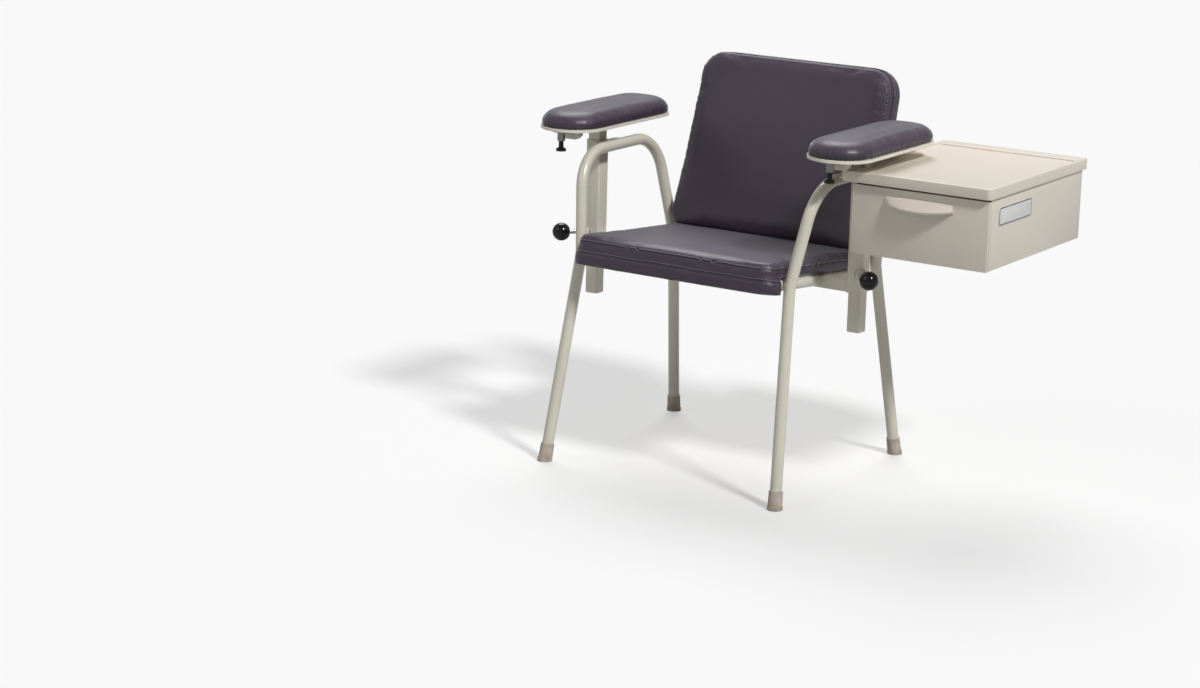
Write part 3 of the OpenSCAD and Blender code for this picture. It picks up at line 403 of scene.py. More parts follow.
class Wiring:
    """Adds and joins the nodes of one tree."""

    def __init__(self, tree: bpy.types.NodeTree) -> None:
        """Starts on a node tree.

        Args:
            tree: The tree.
        """
        self.tree = tree

    def add(self, kind: str, **values: object) -> bpy.types.Node:
        """Adds a node.

        Args:
            kind: The node's type without its ShaderNode prefix, or a full name.
            values: Properties, or inputs by name with spaces as underscores.

        Returns:
            The node.
        """
        full = kind if kind.startswith(("ShaderNode", "NodeGroup")) else "ShaderNode" + kind
        node = self.tree.nodes.new(full)
        for name, value in values.items():
            if hasattr(node, name) and name != "Color":
                setattr(node, name, value)
            else:
                node.inputs[name.replace("_", " ")].default_value = value
        return node

    def join(self, source: bpy.types.NodeSocket, target: bpy.types.NodeSocket) -> None:
        """Links two sockets.

        Args:
            source: Where the value comes from.
            target: Where it goes.
        """
        self.tree.links.new(source, target)

    def remap(
        self,
        value: bpy.types.NodeSocket,
        taken: tuple[float, float] = (0.0, 1.0),
        given: tuple[float, float] = (0.0, 1.0),
    ) -> bpy.types.NodeSocket:
        """Maps one span of a value onto another, and holds it at the ends.

        Args:
            value: The value.
            taken: The span that is read.
            given: The span that comes out.

        Returns:
            The mapped value.
        """
        node = self.add("MapRange")
        for side, low, high in (("From", *taken), ("To", *given)):
            node.inputs[side + " Min"].default_value = low
            node.inputs[side + " Max"].default_value = high
        self.join(value, node.inputs["Value"])
        return node.outputs["Result"]

    def times(self, value: bpy.types.NodeSocket, factor: float) -> bpy.types.NodeSocket:
        """Multiplies a value by a fixed number.

        Args:
            value: The value.
            factor: The number.

        Returns:
            The product.
        """
        node = self.add("Math", operation="MULTIPLY")
        node.inputs[1].default_value = factor
        self.join(value, node.inputs[0])
        return node.outputs[0]

    def blend(
        self, factor: bpy.types.NodeSocket, first: Colour | bpy.types.NodeSocket, second: Colour
    ) -> bpy.types.NodeSocket:
        """Goes from one colour to another.

        Args:
            factor: 0 gives the first colour and 1 the second.
            first: A colour, or the socket that gives it.
            second: A colour.

        Returns:
            The mixed colour.
        """
        node = self.add("Mix", data_type="RGBA")
        self.join(factor, node.inputs["Factor"])
        if isinstance(first, bpy.types.NodeSocket):
            self.join(first, node.inputs["A"])
        else:
            node.inputs["A"].default_value = first
        node.inputs["B"].default_value = second
        return node.outputs["Result"]

    def emboss(
        self,
        height: bpy.types.NodeSocket,
        distance: float,
        shader: bpy.types.Node,
        strength: float = 1.0,
    ) -> None:
        """Presses a height into a shader's surface.

        Args:
            height: The height.
            distance: How deep it goes, in metres.
            shader: The surface's shader.
            strength: How much of it shows.
        """
        bump = self.add("Bump", Strength=strength, Distance=distance)
        self.join(height, bump.inputs["Height"])
        self.join(bump.outputs["Normal"], shader.inputs["Normal"])

    def seen_directly(self, path: bpy.types.Node) -> bpy.types.NodeSocket:
        """Tells what the camera sees, also through clear things, from what only lights the scene.

        Args:
            path: The tree's light path node.

        Returns:
            1 where it is seen.
        """
        node = self.add("Math", operation="MAXIMUM")
        self.join(path.outputs["Is Camera Ray"], node.inputs[0])
        self.join(path.outputs["Is Transmission Ray"], node.inputs[1])
        return node.outputs[0]


def new_surface(
    name: str, **values: float | Colour
) -> tuple[bpy.types.Material, Wiring, bpy.types.Node]:
    """Starts a material.

    Args:
        name: The material's name.
        values: Inputs of its shader by name, with spaces as underscores.

    Returns:
        The material, its wiring and its shader.
    """
    material = bpy.data.materials.new(name)
    material.use_nodes = True
    shader = material.node_tree.nodes["Principled BSDF"]
    for word, value in values.items():
        shader.inputs[word.replace("_", " ")].default_value = value
    return material, Wiring(material.node_tree), shader


class SharedEffects:
    """The node groups that more than one finish uses, each made once."""

    def __init__(self) -> None:
        """Makes the groups."""
        self.grain = self._grain()
        self.mottle = self._mottle()
        self.settled_dust = self._settled_dust()

    @staticmethod
    def _group(name: str) -> bpy.types.NodeTree:
        """Makes an empty shader group.

        Args:
            name: The group's name.

        Returns:
            The group.
        """
        return bpy.data.node_groups.new(name, "ShaderNodeTree")

    def _grain(self) -> bpy.types.NodeTree:
        """Embossed pebble grain: small cells with soft creases between them.

        Returns:
            A group with Cells per metre and Waviness in, Height and Crease out.
        """
        group = self._group("pebble_grain")
        new_socket(group, "Cells", "INPUT", "NodeSocketFloat", 900.0)
        new_socket(group, "Waviness", "INPUT", "NodeSocketFloat", 0.3)
        new_socket(group, "Height", "OUTPUT", "NodeSocketFloat")
        new_socket(group, "Crease", "OUTPUT", "NodeSocketFloat")
        w = Wiring(group)
        inp, out = w.add("NodeGroupInput"), w.add("NodeGroupOutput")
        place = w.add("TexCoord")
        wave = w.add("TexNoise", Detail=2.0)
        w.join(place.outputs["Object"], wave.inputs["Vector"])
        w.join(inp.outputs["Cells"], wave.inputs["Scale"])
        shift = w.add("Mix", data_type="VECTOR")
        w.join(inp.outputs["Waviness"], shift.inputs["Factor"])
        scaled = w.add("VectorMath", operation="SCALE")
        scaled.inputs["Scale"].default_value = 0.001
        w.join(wave.outputs["Color"], scaled.inputs[0])
        moved = w.add("VectorMath", operation="ADD")
        w.join(place.outputs["Object"], moved.inputs[0])
        w.join(scaled.outputs["Vector"], moved.inputs[1])
        w.join(place.outputs["Object"], shift.inputs["A"])
        w.join(moved.outputs["Vector"], shift.inputs["B"])
        cells = w.add("TexVoronoi", feature="SMOOTH_F1")
        cells.inputs["Smoothness"].default_value = 0.4
        w.join(shift.outputs["Result"], cells.inputs["Vector"])
        w.join(inp.outputs["Cells"], cells.inputs["Scale"])
        edge = w.add("TexVoronoi", feature="DISTANCE_TO_EDGE")
        w.join(shift.outputs["Result"], edge.inputs["Vector"])
        w.join(inp.outputs["Cells"], edge.inputs["Scale"])
        crease = w.remap(edge.outputs["Distance"], (0.0, 0.22), (1.0, 0.0))
        height = w.add("Math", operation="MULTIPLY_ADD")
        height.inputs[1].default_value = -0.6
        w.join(cells.outputs["Distance"], height.inputs[0])
        w.join(edge.outputs["Distance"], height.inputs[2])
        w.join(height.outputs[0], out.inputs["Height"])
        w.join(crease, out.inputs["Crease"])
        return group

    def _mottle(self) -> bpy.types.NodeTree:
        """Slow cloudy change in tone with a little fine speckle.

        Returns:
            A group with Scale and Speckle in, Factor out.
        """
        group = self._group("slow_mottle")
        new_socket(group, "Scale", "INPUT", "NodeSocketFloat", 6.0)
        new_socket(group, "Speckle", "INPUT", "NodeSocketFloat", 0.2)
        new_socket(group, "Factor", "OUTPUT", "NodeSocketFloat")
        w = Wiring(group)
        inp, out = w.add("NodeGroupInput"), w.add("NodeGroupOutput")
        place = w.add("TexCoord")
        cloud = w.add("TexNoise", Detail=4.0, Roughness=0.55)
        fine = w.add("TexNoise", Scale=420.0, Detail=2.0)
        w.join(place.outputs["Object"], cloud.inputs["Vector"])
        w.join(place.outputs["Object"], fine.inputs["Vector"])
        w.join(inp.outputs["Scale"], cloud.inputs["Scale"])
        mixed = w.add("Mix")
        w.join(inp.outputs["Speckle"], mixed.inputs["Factor"])
        w.join(cloud.outputs["Fac"], mixed.inputs["A"])
        w.join(fine.outputs["Fac"], mixed.inputs["B"])
        w.join(mixed.outputs["Result"], out.inputs["Factor"])
        return group

    def _settled_dust(self) -> bpy.types.NodeTree:
        """Light dust and scuffing that gathers near the floor.

        Returns:
            A group with Reach in metres in, Mask out.
        """
        group = self._group("floor_scuffs")
        new_socket(group, "Reach", "INPUT", "NodeSocketFloat", 0.12)
        new_socket(group, "Mask", "OUTPUT", "NodeSocketFloat")
        w = Wiring(group)
        inp, out = w.add("NodeGroupInput"), w.add("NodeGroupOutput")
        place = w.add("TexCoord")
        split = w.add("SeparateXYZ")
        w.join(place.outputs["Object"], split.inputs[0])
        low = w.add("MapRange")
        low.inputs["To Min"].default_value = 1.0
        low.inputs["To Max"].default_value = 0.0
        w.join(split.outputs["Z"], low.inputs["Value"])
        w.join(inp.outputs["Reach"], low.inputs["From Max"])
        patches = w.add("TexNoise", Scale=55.0, Detail=6.0)
        w.join(place.outputs["Object"], patches.inputs["Vector"])
        sharp = w.remap(patches.outputs["Fac"], (0.45, 0.75))
        mask = w.add("Math", operation="MULTIPLY")
        w.join(low.outputs["Result"], mask.inputs[0])
        w.join(sharp, mask.inputs[1])
        w.join(mask.outputs[0], out.inputs["Mask"])
        return group


# The part of the slow mottle's range that a finish's two tones are spread over
MOTTLE_SPAN = (0.3, 0.7)
# How bright scuffs are beside the clean colour, and the glossiest that a finish may get
SCUFF_SHARE = 0.45
SMOOTHEST = 0.02


@dataclass(frozen=True)
class Finish:
    """A painted, moulded or plated surface.

    Colours are linear; sizes are cells per metre.
    """

    name: str
    colour: Colour
    shade: Colour
    roughness: float
    roughness_span: float = 0.06
    metallic: float = 0.0
    coat: float = 0.0
    coat_roughness: float = 0.1
    specular: float = 0.5
    mottle_scale: float = 7.0
    speckle: float = 0.25
    texture_cells: float = 900.0
    texture_depth: float = 0.00002
    scuffs: float = 0.0

    def make(self, effects: SharedEffects) -> bpy.types.Material:
        """Builds the material.

        Args:
            effects: The shared groups.

        Returns:
            The material.
        """
        material, w, shader = new_surface(
            self.name, Metallic=self.metallic, Coat_Weight=self.coat,
            Coat_Roughness=self.coat_roughness, Specular_IOR_Level=self.specular,
        )
        mottle = w.add("Group", node_tree=effects.mottle)
        mottle.inputs["Scale"].default_value = self.mottle_scale
        mottle.inputs["Speckle"].default_value = self.speckle
        tone = w.remap(mottle.outputs["Factor"], MOTTLE_SPAN)
        colour = w.blend(tone, self.colour, self.shade)
        if self.scuffs > 0:
            scuff = w.add("Group", node_tree=effects.settled_dust)
            strength = w.times(scuff.outputs["Mask"], self.scuffs)
            dirt = tuple(SCUFF_SHARE * v for v in self.colour[:3]) + (1.0,)
            colour = w.blend(strength, colour, dirt)
        w.join(colour, shader.inputs["Base Color"])
        rough = (max(SMOOTHEST, self.roughness - self.roughness_span),
                 self.roughness + self.roughness_span)
        w.join(w.remap(mottle.outputs["Factor"], given=rough), shader.inputs["Roughness"])
        texture = w.add("TexNoise", Scale=self.texture_cells, Detail=3.0)
        place = w.add("TexCoord")
        w.join(place.outputs["Object"], texture.inputs["Vector"])
        w.emboss(texture.outputs["Fac"], self.texture_depth, shader)
        return material


@dataclass(frozen=True)
class CoatedVinyl:
    """The covers' dark plum coated fabric, with a fine pebble grain, and painted shade darkening
    the grain's creases and the seams.
    """

    name: str = "vinyl_cover"
    colour: Colour = srgb(71, 55, 77)
    shade: Colour = srgb(62, 47, 67)
    # Painted shade: the near-black colour that is mixed into the grain's creases and along the
    # seams
    crease: Colour = srgb(24, 17, 27)
    roughness: float = 0.5
    sheen: float = 0.62
    sheen_tint: Colour = (0.86, 0.9, 1.0, 1.0)
    coat: float = 0.3
    film_roughness: float = 0.3
    mottle_scale: float = 9.0
    speckle: float = 0.35
    cells: float = 1150.0
    crease_strength: float = 0.55
    grain_depth: float = 0.00006

    def make(self, effects: SharedEffects) -> bpy.types.Material:
        """Builds the material.

        Args:
            effects: The shared groups.

        Returns:
            The material.
        """
        material, w, shader = new_surface(
            self.name, Sheen_Weight=self.sheen, Sheen_Roughness=self.film_roughness,
            Sheen_Tint=self.sheen_tint, Coat_Weight=self.coat,
            Coat_Roughness=self.film_roughness,
        )
        grain = w.add("Group", node_tree=effects.grain)
        grain.inputs["Cells"].default_value = self.cells
        mottle = w.add("Group", node_tree=effects.mottle)
        mottle.inputs["Scale"].default_value = self.mottle_scale
        mottle.inputs["Speckle"].default_value = self.speckle
        tone = w.remap(mottle.outputs["Factor"], MOTTLE_SPAN)
        base = w.blend(tone, self.colour, self.shade)
        # Painted shade in the grain's creases, between the pebble cells
        folds = w.times(grain.outputs["Crease"], self.crease_strength)
        creased = w.blend(folds, base, self.crease)
        # Painted shade along the seams, from the seam_shade mark that the cover carries
        sewn = w.add("Attribute", attribute_name="seam_shade")
        seam_shaded = w.blend(sewn.outputs["Fac"], creased, self.crease)
        w.join(seam_shaded, shader.inputs["Base Color"])
        rough = (self.roughness - 0.05, self.roughness + 0.12)
        w.join(w.remap(grain.outputs["Crease"], given=rough), shader.inputs["Roughness"])
        w.emboss(grain.outputs["Height"], self.grain_depth, shader)
        return material


@dataclass(frozen=True)
class Plywood:
    """Bare birch ply with its grain along the board."""

    name: str = "birch_ply"
    pale: Colour = srgb(205, 172, 126)
    dark: Colour = srgb(170, 132, 88)
    stretch: tuple[float, float, float] = (8.0, 90.0, 90.0)
    roughness: tuple[float, float] = (0.55, 0.75)
    grain_depth: float = 0.0001

    def make(self, effects: SharedEffects) -> bpy.types.Material:
        """Builds the material.

        Args:
            effects: The shared groups.

        Returns:
            The material.
        """
        material, w, shader = new_surface(self.name)
        place = w.add("TexCoord")
        stretch = w.add("Mapping")
        stretch.inputs["Scale"].default_value = self.stretch
        w.join(place.outputs["Object"], stretch.inputs["Vector"])
        grain = w.add("TexNoise", Scale=1.0, Detail=6.0, Roughness=0.6)
        w.join(stretch.outputs["Vector"], grain.inputs["Vector"])
        w.join(w.blend(grain.outputs["Fac"], self.pale, self.dark), shader.inputs["Base Color"])
        mottle = w.add("Group", node_tree=effects.mottle)
        gloss = w.remap(mottle.outputs["Factor"], given=self.roughness)
        w.join(gloss, shader.inputs["Roughness"])
        w.emboss(grain.outputs["Fac"], self.grain_depth, shader, 0.6)
        return material


def node_slots(frame: dict) -> dict[str, str]:
    """Reads every node's material slot.


    Returns:
        The slots by node.
    """
    return {part["node"]: part["material_slot"] for part in frame["record"]["subparts"]}


class Finishes:
    """Every finish of the chair, by the record's slot."""

    def __init__(self) -> None:
        """Builds the shared effects and the materials."""
        effects = SharedEffects()
        self.vinyl = CoatedVinyl().make(effects)
        # The piping is the covers' vinyl painted lighter, as a painted highlight on the round
        # cords, with painted shade in its own grain's creases
        self.piping = CoatedVinyl(
            "piping_vinyl", srgb(112, 106, 120), srgb(98, 92, 106), srgb(70, 64, 78), 0.3,
        ).make(effects)
        self.frame_paint = Finish(
            "frame_powder_coat", srgb(220, 216, 200), srgb(213, 208, 191), 0.3, coat=0.6,
            coat_roughness=0.1, texture_cells=260, texture_depth=0.00005, scuffs=0.3,
        ).make(effects)
        self.tip_rubber = Finish(
            "tip_rubber", srgb(203, 190, 177), srgb(188, 174, 161), 0.7, texture_cells=700,
            texture_depth=0.00008, scuffs=0.8, specular=0.3,
        ).make(effects)
        self.board_white = Finish(
            "pad_board_white", srgb(235, 230, 217), srgb(228, 222, 207), 0.4, coat=0.2,
        ).make(effects)
        self.black_plastic = Finish(
            "black_phenolic", srgb(8, 8, 9), srgb(12, 12, 13), 0.08, roughness_span=0.03,
            coat=0.0, specular=0.4, texture_depth=0.00001,
        ).make(effects)
        self.plunger_black = Finish(
            "plunger_black", srgb(14, 14, 15), srgb(20, 20, 21), 0.35, texture_depth=0.00004,
            specular=0.35,
        ).make(effects)
        self.grey_steel = Finish(
            "plated_steel", srgb(150, 150, 148), srgb(128, 128, 126), 0.34, metallic=0.9,
            texture_cells=1500,
        ).make(effects)
        self.zinc_steel = Finish(
            "zinc_steel", srgb(186, 188, 190), srgb(160, 162, 166), 0.3, metallic=1.0,
            mottle_scale=60, texture_cells=1500,
        ).make(effects)
        self.cabinet_paint = Finish(
            "cabinet_putty_paint", srgb(222, 214, 200), srgb(217, 209, 194), 0.36, coat=0.3,
            coat_roughness=0.2, texture_cells=1600, texture_depth=0.00005,
        ).make(effects)
        self.cabinet_top = Finish(
            "cabinet_top_laminate", srgb(224, 215, 201), srgb(219, 210, 195), 0.42,
            texture_cells=2200, texture_depth=0.00005, speckle=0.5,
        ).make(effects)
        self.handle_plastic = Finish(
            "handle_plastic", srgb(229, 218, 205), srgb(224, 213, 199), 0.4,
            texture_cells=1200, texture_depth=0.00004,
        ).make(effects)
        self.weld = Finish(
            "painted_weld", srgb(212, 207, 190), srgb(200, 195, 177), 0.34, coat=0.4,
            texture_cells=600, texture_depth=0.0001,
        ).make(effects)
        self.plywood = Plywood().make(effects)
        self.plate_face = Finish(
            "plate_face", srgb(226, 225, 224), srgb(216, 215, 214), 0.3, coat=0.3,
            texture_cells=2500,
        ).make(effects)
        self.plate_rim = Finish(
            "plate_rim", srgb(40, 46, 58), srgb(34, 40, 50), 0.4,
        ).make(effects)
        self.by_slot: dict[str, bpy.types.Material] = {
            "frame_paint": self.frame_paint,
            "tip_rubber": self.tip_rubber,
            "vinyl": self.vinyl,
            "plywood": self.plywood,
            "pad_board_white": self.board_white,
            "black_plastic": self.black_plastic,
            "plunger_black": self.plunger_black,
            "grey_steel": self.grey_steel,
            "cabinet_paint": self.cabinet_paint,
            "cabinet_top_laminate": self.cabinet_top,
            "handle_plastic": self.handle_plastic,
            "zinc_steel": self.zinc_steel,
        }

    def dress_nodes(self, frame: dict) -> None:
        """Gives every node the finish of its slot.
        """
        slots = node_slots(frame)
        for name, node in frame["nodes"].items():
            finish = self.by_slot[slots[name]]
            if not node.data.materials:
                node.data.materials.append(finish)
            for place in range(len(node.data.materials)):
                node.data.materials[place] = finish
            log.info("node %s: %s", name, finish.name)


# Padded covers

# How many steps a rounded corner of an outline has
CORNER_STEPS = 16
# How the cover's cloth is blown up: how many frames, and its weight and stiffness
CLOTH_FRAMES = 20
CLOTH: dict[str, float] = {
    "quality": 4,
    "mass": 0.3,
    "tension_stiffness": 12,
    "compression_stiffness": 12,
    "shear_stiffness": 5,
    "bending_stiffness": 0.6,
}
# How far a cover may move where it is held down, in any way and outwards, in metres
HELD_TRAVEL = 0.0008
HELD_BULGE = 0.0003
# A groove and a fold fade out past this many of their own widths
GROOVE_FADE = 2.5
FOLD_FADE = 2.2
# Folds start this far from their seam, in metres
FOLD_START = 0.002
# Seams that swing more than this many degrees stay soft
COVER_ANGLE = 75.0


@dataclass(frozen=True)
class CoverOutline:
    """A cushion's rounded outline in its own plane, in millimetres."""

    half_width: float
    front: float
    rear: float
    front_radius: float
    rear_radius: float
    flare: float = 0.0

    @staticmethod
    def _corner(x: float, y: float, radius: float, start: float) -> list[tuple[float, float]]:
        """Draws one rounded corner.

        Args:
            x: Its centre's place across.
            y: Its centre's place along.
            radius: Its radius.
            start: The angle where it starts, in degrees.

        Returns:
            Points of a quarter circle.
        """
        turn = [math.radians(start + 90 * k / CORNER_STEPS) for k in range(CORNER_STEPS + 1)]
        return [(x + radius * math.cos(a), y + radius * math.sin(a)) for a in turn]

    def ring(self, inset: float, height: float, count: int = 500) -> list[Vector]:
        """Spaces points evenly round the outline.

        Args:
            inset: How far the ring is drawn in, in millimetres.
            height: Its height over the plane, in millimetres.
            count: How many points.

        Returns:
            Points in metres in the cushion's plane, from its left rear side round the back.
        """
        front, rear = self.front_radius, self.rear_radius
        inner_front, inner_rear = max(1.0, front - inset), max(1.0, rear - inset)
        front_x, front_y = self.half_width - front, self.front + front
        rear_x, rear_y = self.half_width - rear, self.rear - rear
        corners = (
            self._corner(front_x, front_y, inner_front, 270)
            + self._corner(rear_x, rear_y, inner_rear, 0)
            + self._corner(-rear_x, rear_y, inner_rear, 90)
            + self._corner(-front_x, front_y, inner_front, 180)
        )
        length = self.rear - self.front
        flared = [(x * (1 + self.flare * (y - self.front) / length), y) for x, y in corners]
        flared.append(flared[0])
        steps = [math.dist(a, b) for a, b in zip(flared, flared[1:])]
        whole = sum(steps)
        points: list[Vector] = []
        leg, walked = 0, 0.0
        for index in range(count):
            target = whole * index / count
            while walked + steps[leg] < target:
                walked += steps[leg]
                leg += 1
            share = (target - walked) / max(steps[leg], 1e-9)
            (ax, ay), (bx, by) = flared[leg], flared[leg + 1]
            points.append(
                Vector((ax + (bx - ax) * share, ay + (by - ay) * share, height)) / MM_PER_M
            )
        return points

    def front_run(self, inset: float, height: float, rear: float, count: int = 500) -> list[Vector]:
        """Keeps the part of a ring that is in front of a line.

        Args:
            inset: How far the run is drawn in, in millimetres.
            height: Its height over the plane, in millimetres.
            rear: Where it ends on both sides, in millimetres.
            count: How many points the whole ring would have.

        Returns:
            Points in metres, from the left side round the front to the right side.
        """
        ring = self.ring(inset, height, count)
        start = next(
            i for i in range(count) if ring[i - 1].y * MM_PER_M >= rear > ring[i].y * MM_PER_M
        )
        turned = ring[start:] + ring[:start]
        return [p for p in turned if p.y * MM_PER_M < rear]


@dataclass
class Pillow:
    """Turns a padded node into a stuffed cover with pressed seams.

    Lengths are in metres.
    """

    name: str
    node: str
    to_local: Matrix
    flat_below: float
    voxel: float = 0.0055
    inset: float = 0.002
    pressure: float = 4.0
    cap: float = 0.006
    piece: bpy.types.Object | None = field(default=None, init=False)

    def make(self, frame: dict) -> bpy.types.Object:
        """Copies, remeshes, inflates and smooths the cover.


        Returns:
            The cover.
        """
        piece = copy_node(frame["nodes"][self.node], self.name)
        add_modifier(piece, "REMESH", mode="VOXEL", voxel_size=self.voxel, use_smooth_shade=True)
        apply_modifiers(piece)
        self.piece = piece
        self._inflate()
        add_modifier(piece, "SMOOTH", factor=0.5, iterations=2)
        add_modifier(piece, "SUBSURF", levels=1, render_levels=1)
        apply_modifiers(piece)
        return piece

    def _inflate(self) -> None:
        """Blows the cover up a little with cloth pressure, and caps how far it goes."""
        piece = self.piece
        start = [v.co.copy() for v in piece.data.vertices]
        normals = [v.normal.copy() for v in piece.data.vertices]
        for vertex, normal in zip(piece.data.vertices, normals):
            vertex.co -= normal * self.inset
        cloth = piece.modifiers.new("Cloth", "CLOTH")
        settings = cloth.settings
        for word, value in CLOTH.items():
            setattr(settings, word, value)
        settings.use_pressure = True
        settings.uniform_pressure_force = self.pressure
        settings.effector_weights.gravity = 0
        cloth.collision_settings.use_collision = False
        scene = bpy.context.scene
        scene.frame_start, scene.frame_end = 1, CLOTH_FRAMES
        cloth.point_cache.frame_start, cloth.point_cache.frame_end = 1, CLOTH_FRAMES
        for step in range(1, CLOTH_FRAMES + 1):
            scene.frame_set(step)
        only(piece)
        bpy.ops.object.modifier_apply(modifier=cloth.name)
        scene.frame_set(1)
        for vertex, first, normal in zip(piece.data.vertices, start, normals):
            travel = vertex.co - first
            held = (self.to_local @ first).z < self.flat_below
            limit = HELD_TRAVEL if held else self.cap
            if travel.length > limit:
                travel *= limit / travel.length
            outward = travel.dot(normal)
            if held and outward > HELD_BULGE:
                travel -= normal * (outward - HELD_BULGE)
            vertex.co = first + travel

    def settle_edge(self, start: float, end: float, drop: float) -> None:
        """Lets the cover's far edge sink along the plane until it rests on its neighbour.

        Args:
            start: Where along the plane the sinking starts, in millimetres.
            end: Where it is full, in millimetres.
            drop: How far the edge sinks, in millimetres.
        """
        back = self.to_local.inverted().to_3x3()
        mesh = self.piece.data
        for vertex in mesh.vertices:
            place = (self.to_local @ vertex.co).y * MM_PER_M
            share = min(1.0, max(0.0, (place - start) / (end - start)))
            share = share * share * (3 - 2 * share)
            vertex.co += back @ Vector((0.0, drop * share / MM_PER_M, 0.0))
        mesh.update()

    def lay(self, ring: Sequence[Vector], lift: float = 0.0) -> list[Vector]:
        """Lays a drawn line on the nearest part of the cover.

        Args:
            ring: Points in the cushion's plane, in metres.
            lift: How far the points stand off the surface.

        Returns:
            Points in the shared frame.
        """
        tree = BVHTree.FromObject(self.piece, bpy.context.evaluated_depsgraph_get())
        back = self.to_local.inverted()
        laid: list[Vector] = []
        for place in ring:
            hit, normal, _, _ = tree.find_nearest(back @ place)
            laid.append(hit + normal * lift)
        return laid

    def refine(self, path: Sequence[Vector], reach: float) -> None:
        """Divides the faces along a line, so that it can be pressed sharply.

        Args:
            path: The line, as close points.
            reach: How far from it faces are divided.
        """
        tree = as_tree(path)
        with editing(self.piece, "FACE"):
            pick_faces(self.piece, lambda f: tree.find(f.calc_center_median())[2] < reach)
            bpy.ops.mesh.subdivide(number_cuts=1, smoothness=0.0)
        mesh = self.piece.data
        for polygon in mesh.polygons:
            polygon.use_smooth = True

    def press(self, path: Sequence[Vector], width: float, depth: float) -> None:
        """Presses a sewn line into the cover.

        Args:
            path: The line, as close points.
            width: Half the groove's width.
            depth: How deep it goes.
        """
        tree = as_tree(path)
        mesh = self.piece.data
        normals = [v.normal.copy() for v in mesh.vertices]
        for vertex, normal in zip(mesh.vertices, normals):
            _, _, distance = tree.find(vertex.co)
            if distance < width * GROOVE_FADE:
                vertex.co -= normal * depth * math.exp(-((distance / width) ** 2))
        mesh.update()

    def pucker(
        self, path: Sequence[Vector], wave: float, reach: float, depth: float, seed: float
    ) -> None:
        """Draws small folds that run out from a seam, uneven in size and spacing.

        Args:
            path: The seam, as close and even points.
            wave: Mean spacing of the folds.
            reach: How far they run.
            depth: How deep they are at the seam.
            seed: Shifts the pattern.
        """
        tree = as_tree(path)
        step = (path[1] - path[0]).length
        mesh = self.piece.data
        normals = [v.normal.copy() for v in mesh.vertices]
        for vertex, normal in zip(mesh.vertices, normals):
            _, index, distance = tree.find(vertex.co)
            if distance > reach * FOLD_FADE:
                continue
            along = index * step
            slow = noise.noise(Vector((along / (wave * 5), seed, 0.0)))
            ridge = noise.noise(Vector((along / wave, distance / reach, seed + 7.0)))
            fade = math.exp(-((distance / reach) ** 2)) * min(1.0, distance / FOLD_START)
            vertex.co -= normal * depth * fade * max(0.0, 0.5 + slow) * max(0.0, ridge) * 2
        mesh.update()

    def stain(self, paths: Sequence[Sequence[Vector]], width: float) -> None:
        """Marks the seams with painted shade, which the cover's material mixes in as a darker
        colour along them.

        Args:
            paths: The seams.
            width: How far the mark reaches.
        """
        mesh = self.piece.data
        mark = mesh.attributes.new("seam_shade", "FLOAT", "POINT")
        tree = as_tree([place for path in paths for place in path])
        for vertex in mesh.vertices:
            _, _, distance = tree.find(vertex.co)
            mark.data[vertex.index].value = math.exp(-((distance / width) ** 2))

    def rumple(self, size: float, depth: float, seed: float) -> None:
        """Gives the stretched cover its faint, slow unevenness.

        Args:
            size: Size of the hollows.
            depth: How deep they are.
            seed: Shifts the pattern.
        """
        mesh = self.piece.data
        normals = [v.normal.copy() for v in mesh.vertices]
        for vertex, normal in zip(mesh.vertices, normals):
            if (self.to_local @ vertex.co).z < self.flat_below:
                continue
            swell = noise.noise(vertex.co / size + Vector((seed, seed, seed)))
            vertex.co += normal * depth * (swell - 0.3)
        mesh.update()


def as_tree(path: Sequence[Vector]) -> KDTree:
    """Puts a line's points into a search tree.

    Args:
        path: The points.

    Returns:
        The tree.
    """
    tree = KDTree(len(path))
    for index, place in enumerate(path):
        tree.insert(place, index)
    tree.balance()
    return tree


def wander(path: Sequence[Vector], size: float, wave: float, seed: float) -> list[Vector]:
    """Lets a sewn edge wander up and down a little.

    Args:
        path: The line.
        size: How far it wanders.
        wave: Length of one wave.
        seed: Shifts the pattern.

    Returns:
        The moved points.
    """
    moved: list[Vector] = []
    walked = 0.0
    for index, place in enumerate(path):
        if index:
            walked += (place - path[index - 1]).length
        drift = noise.noise(Vector((walked / wave, seed, 0.5)))
        moved.append(place + Vector((0.0, 0.0, size * drift)))
    return moved


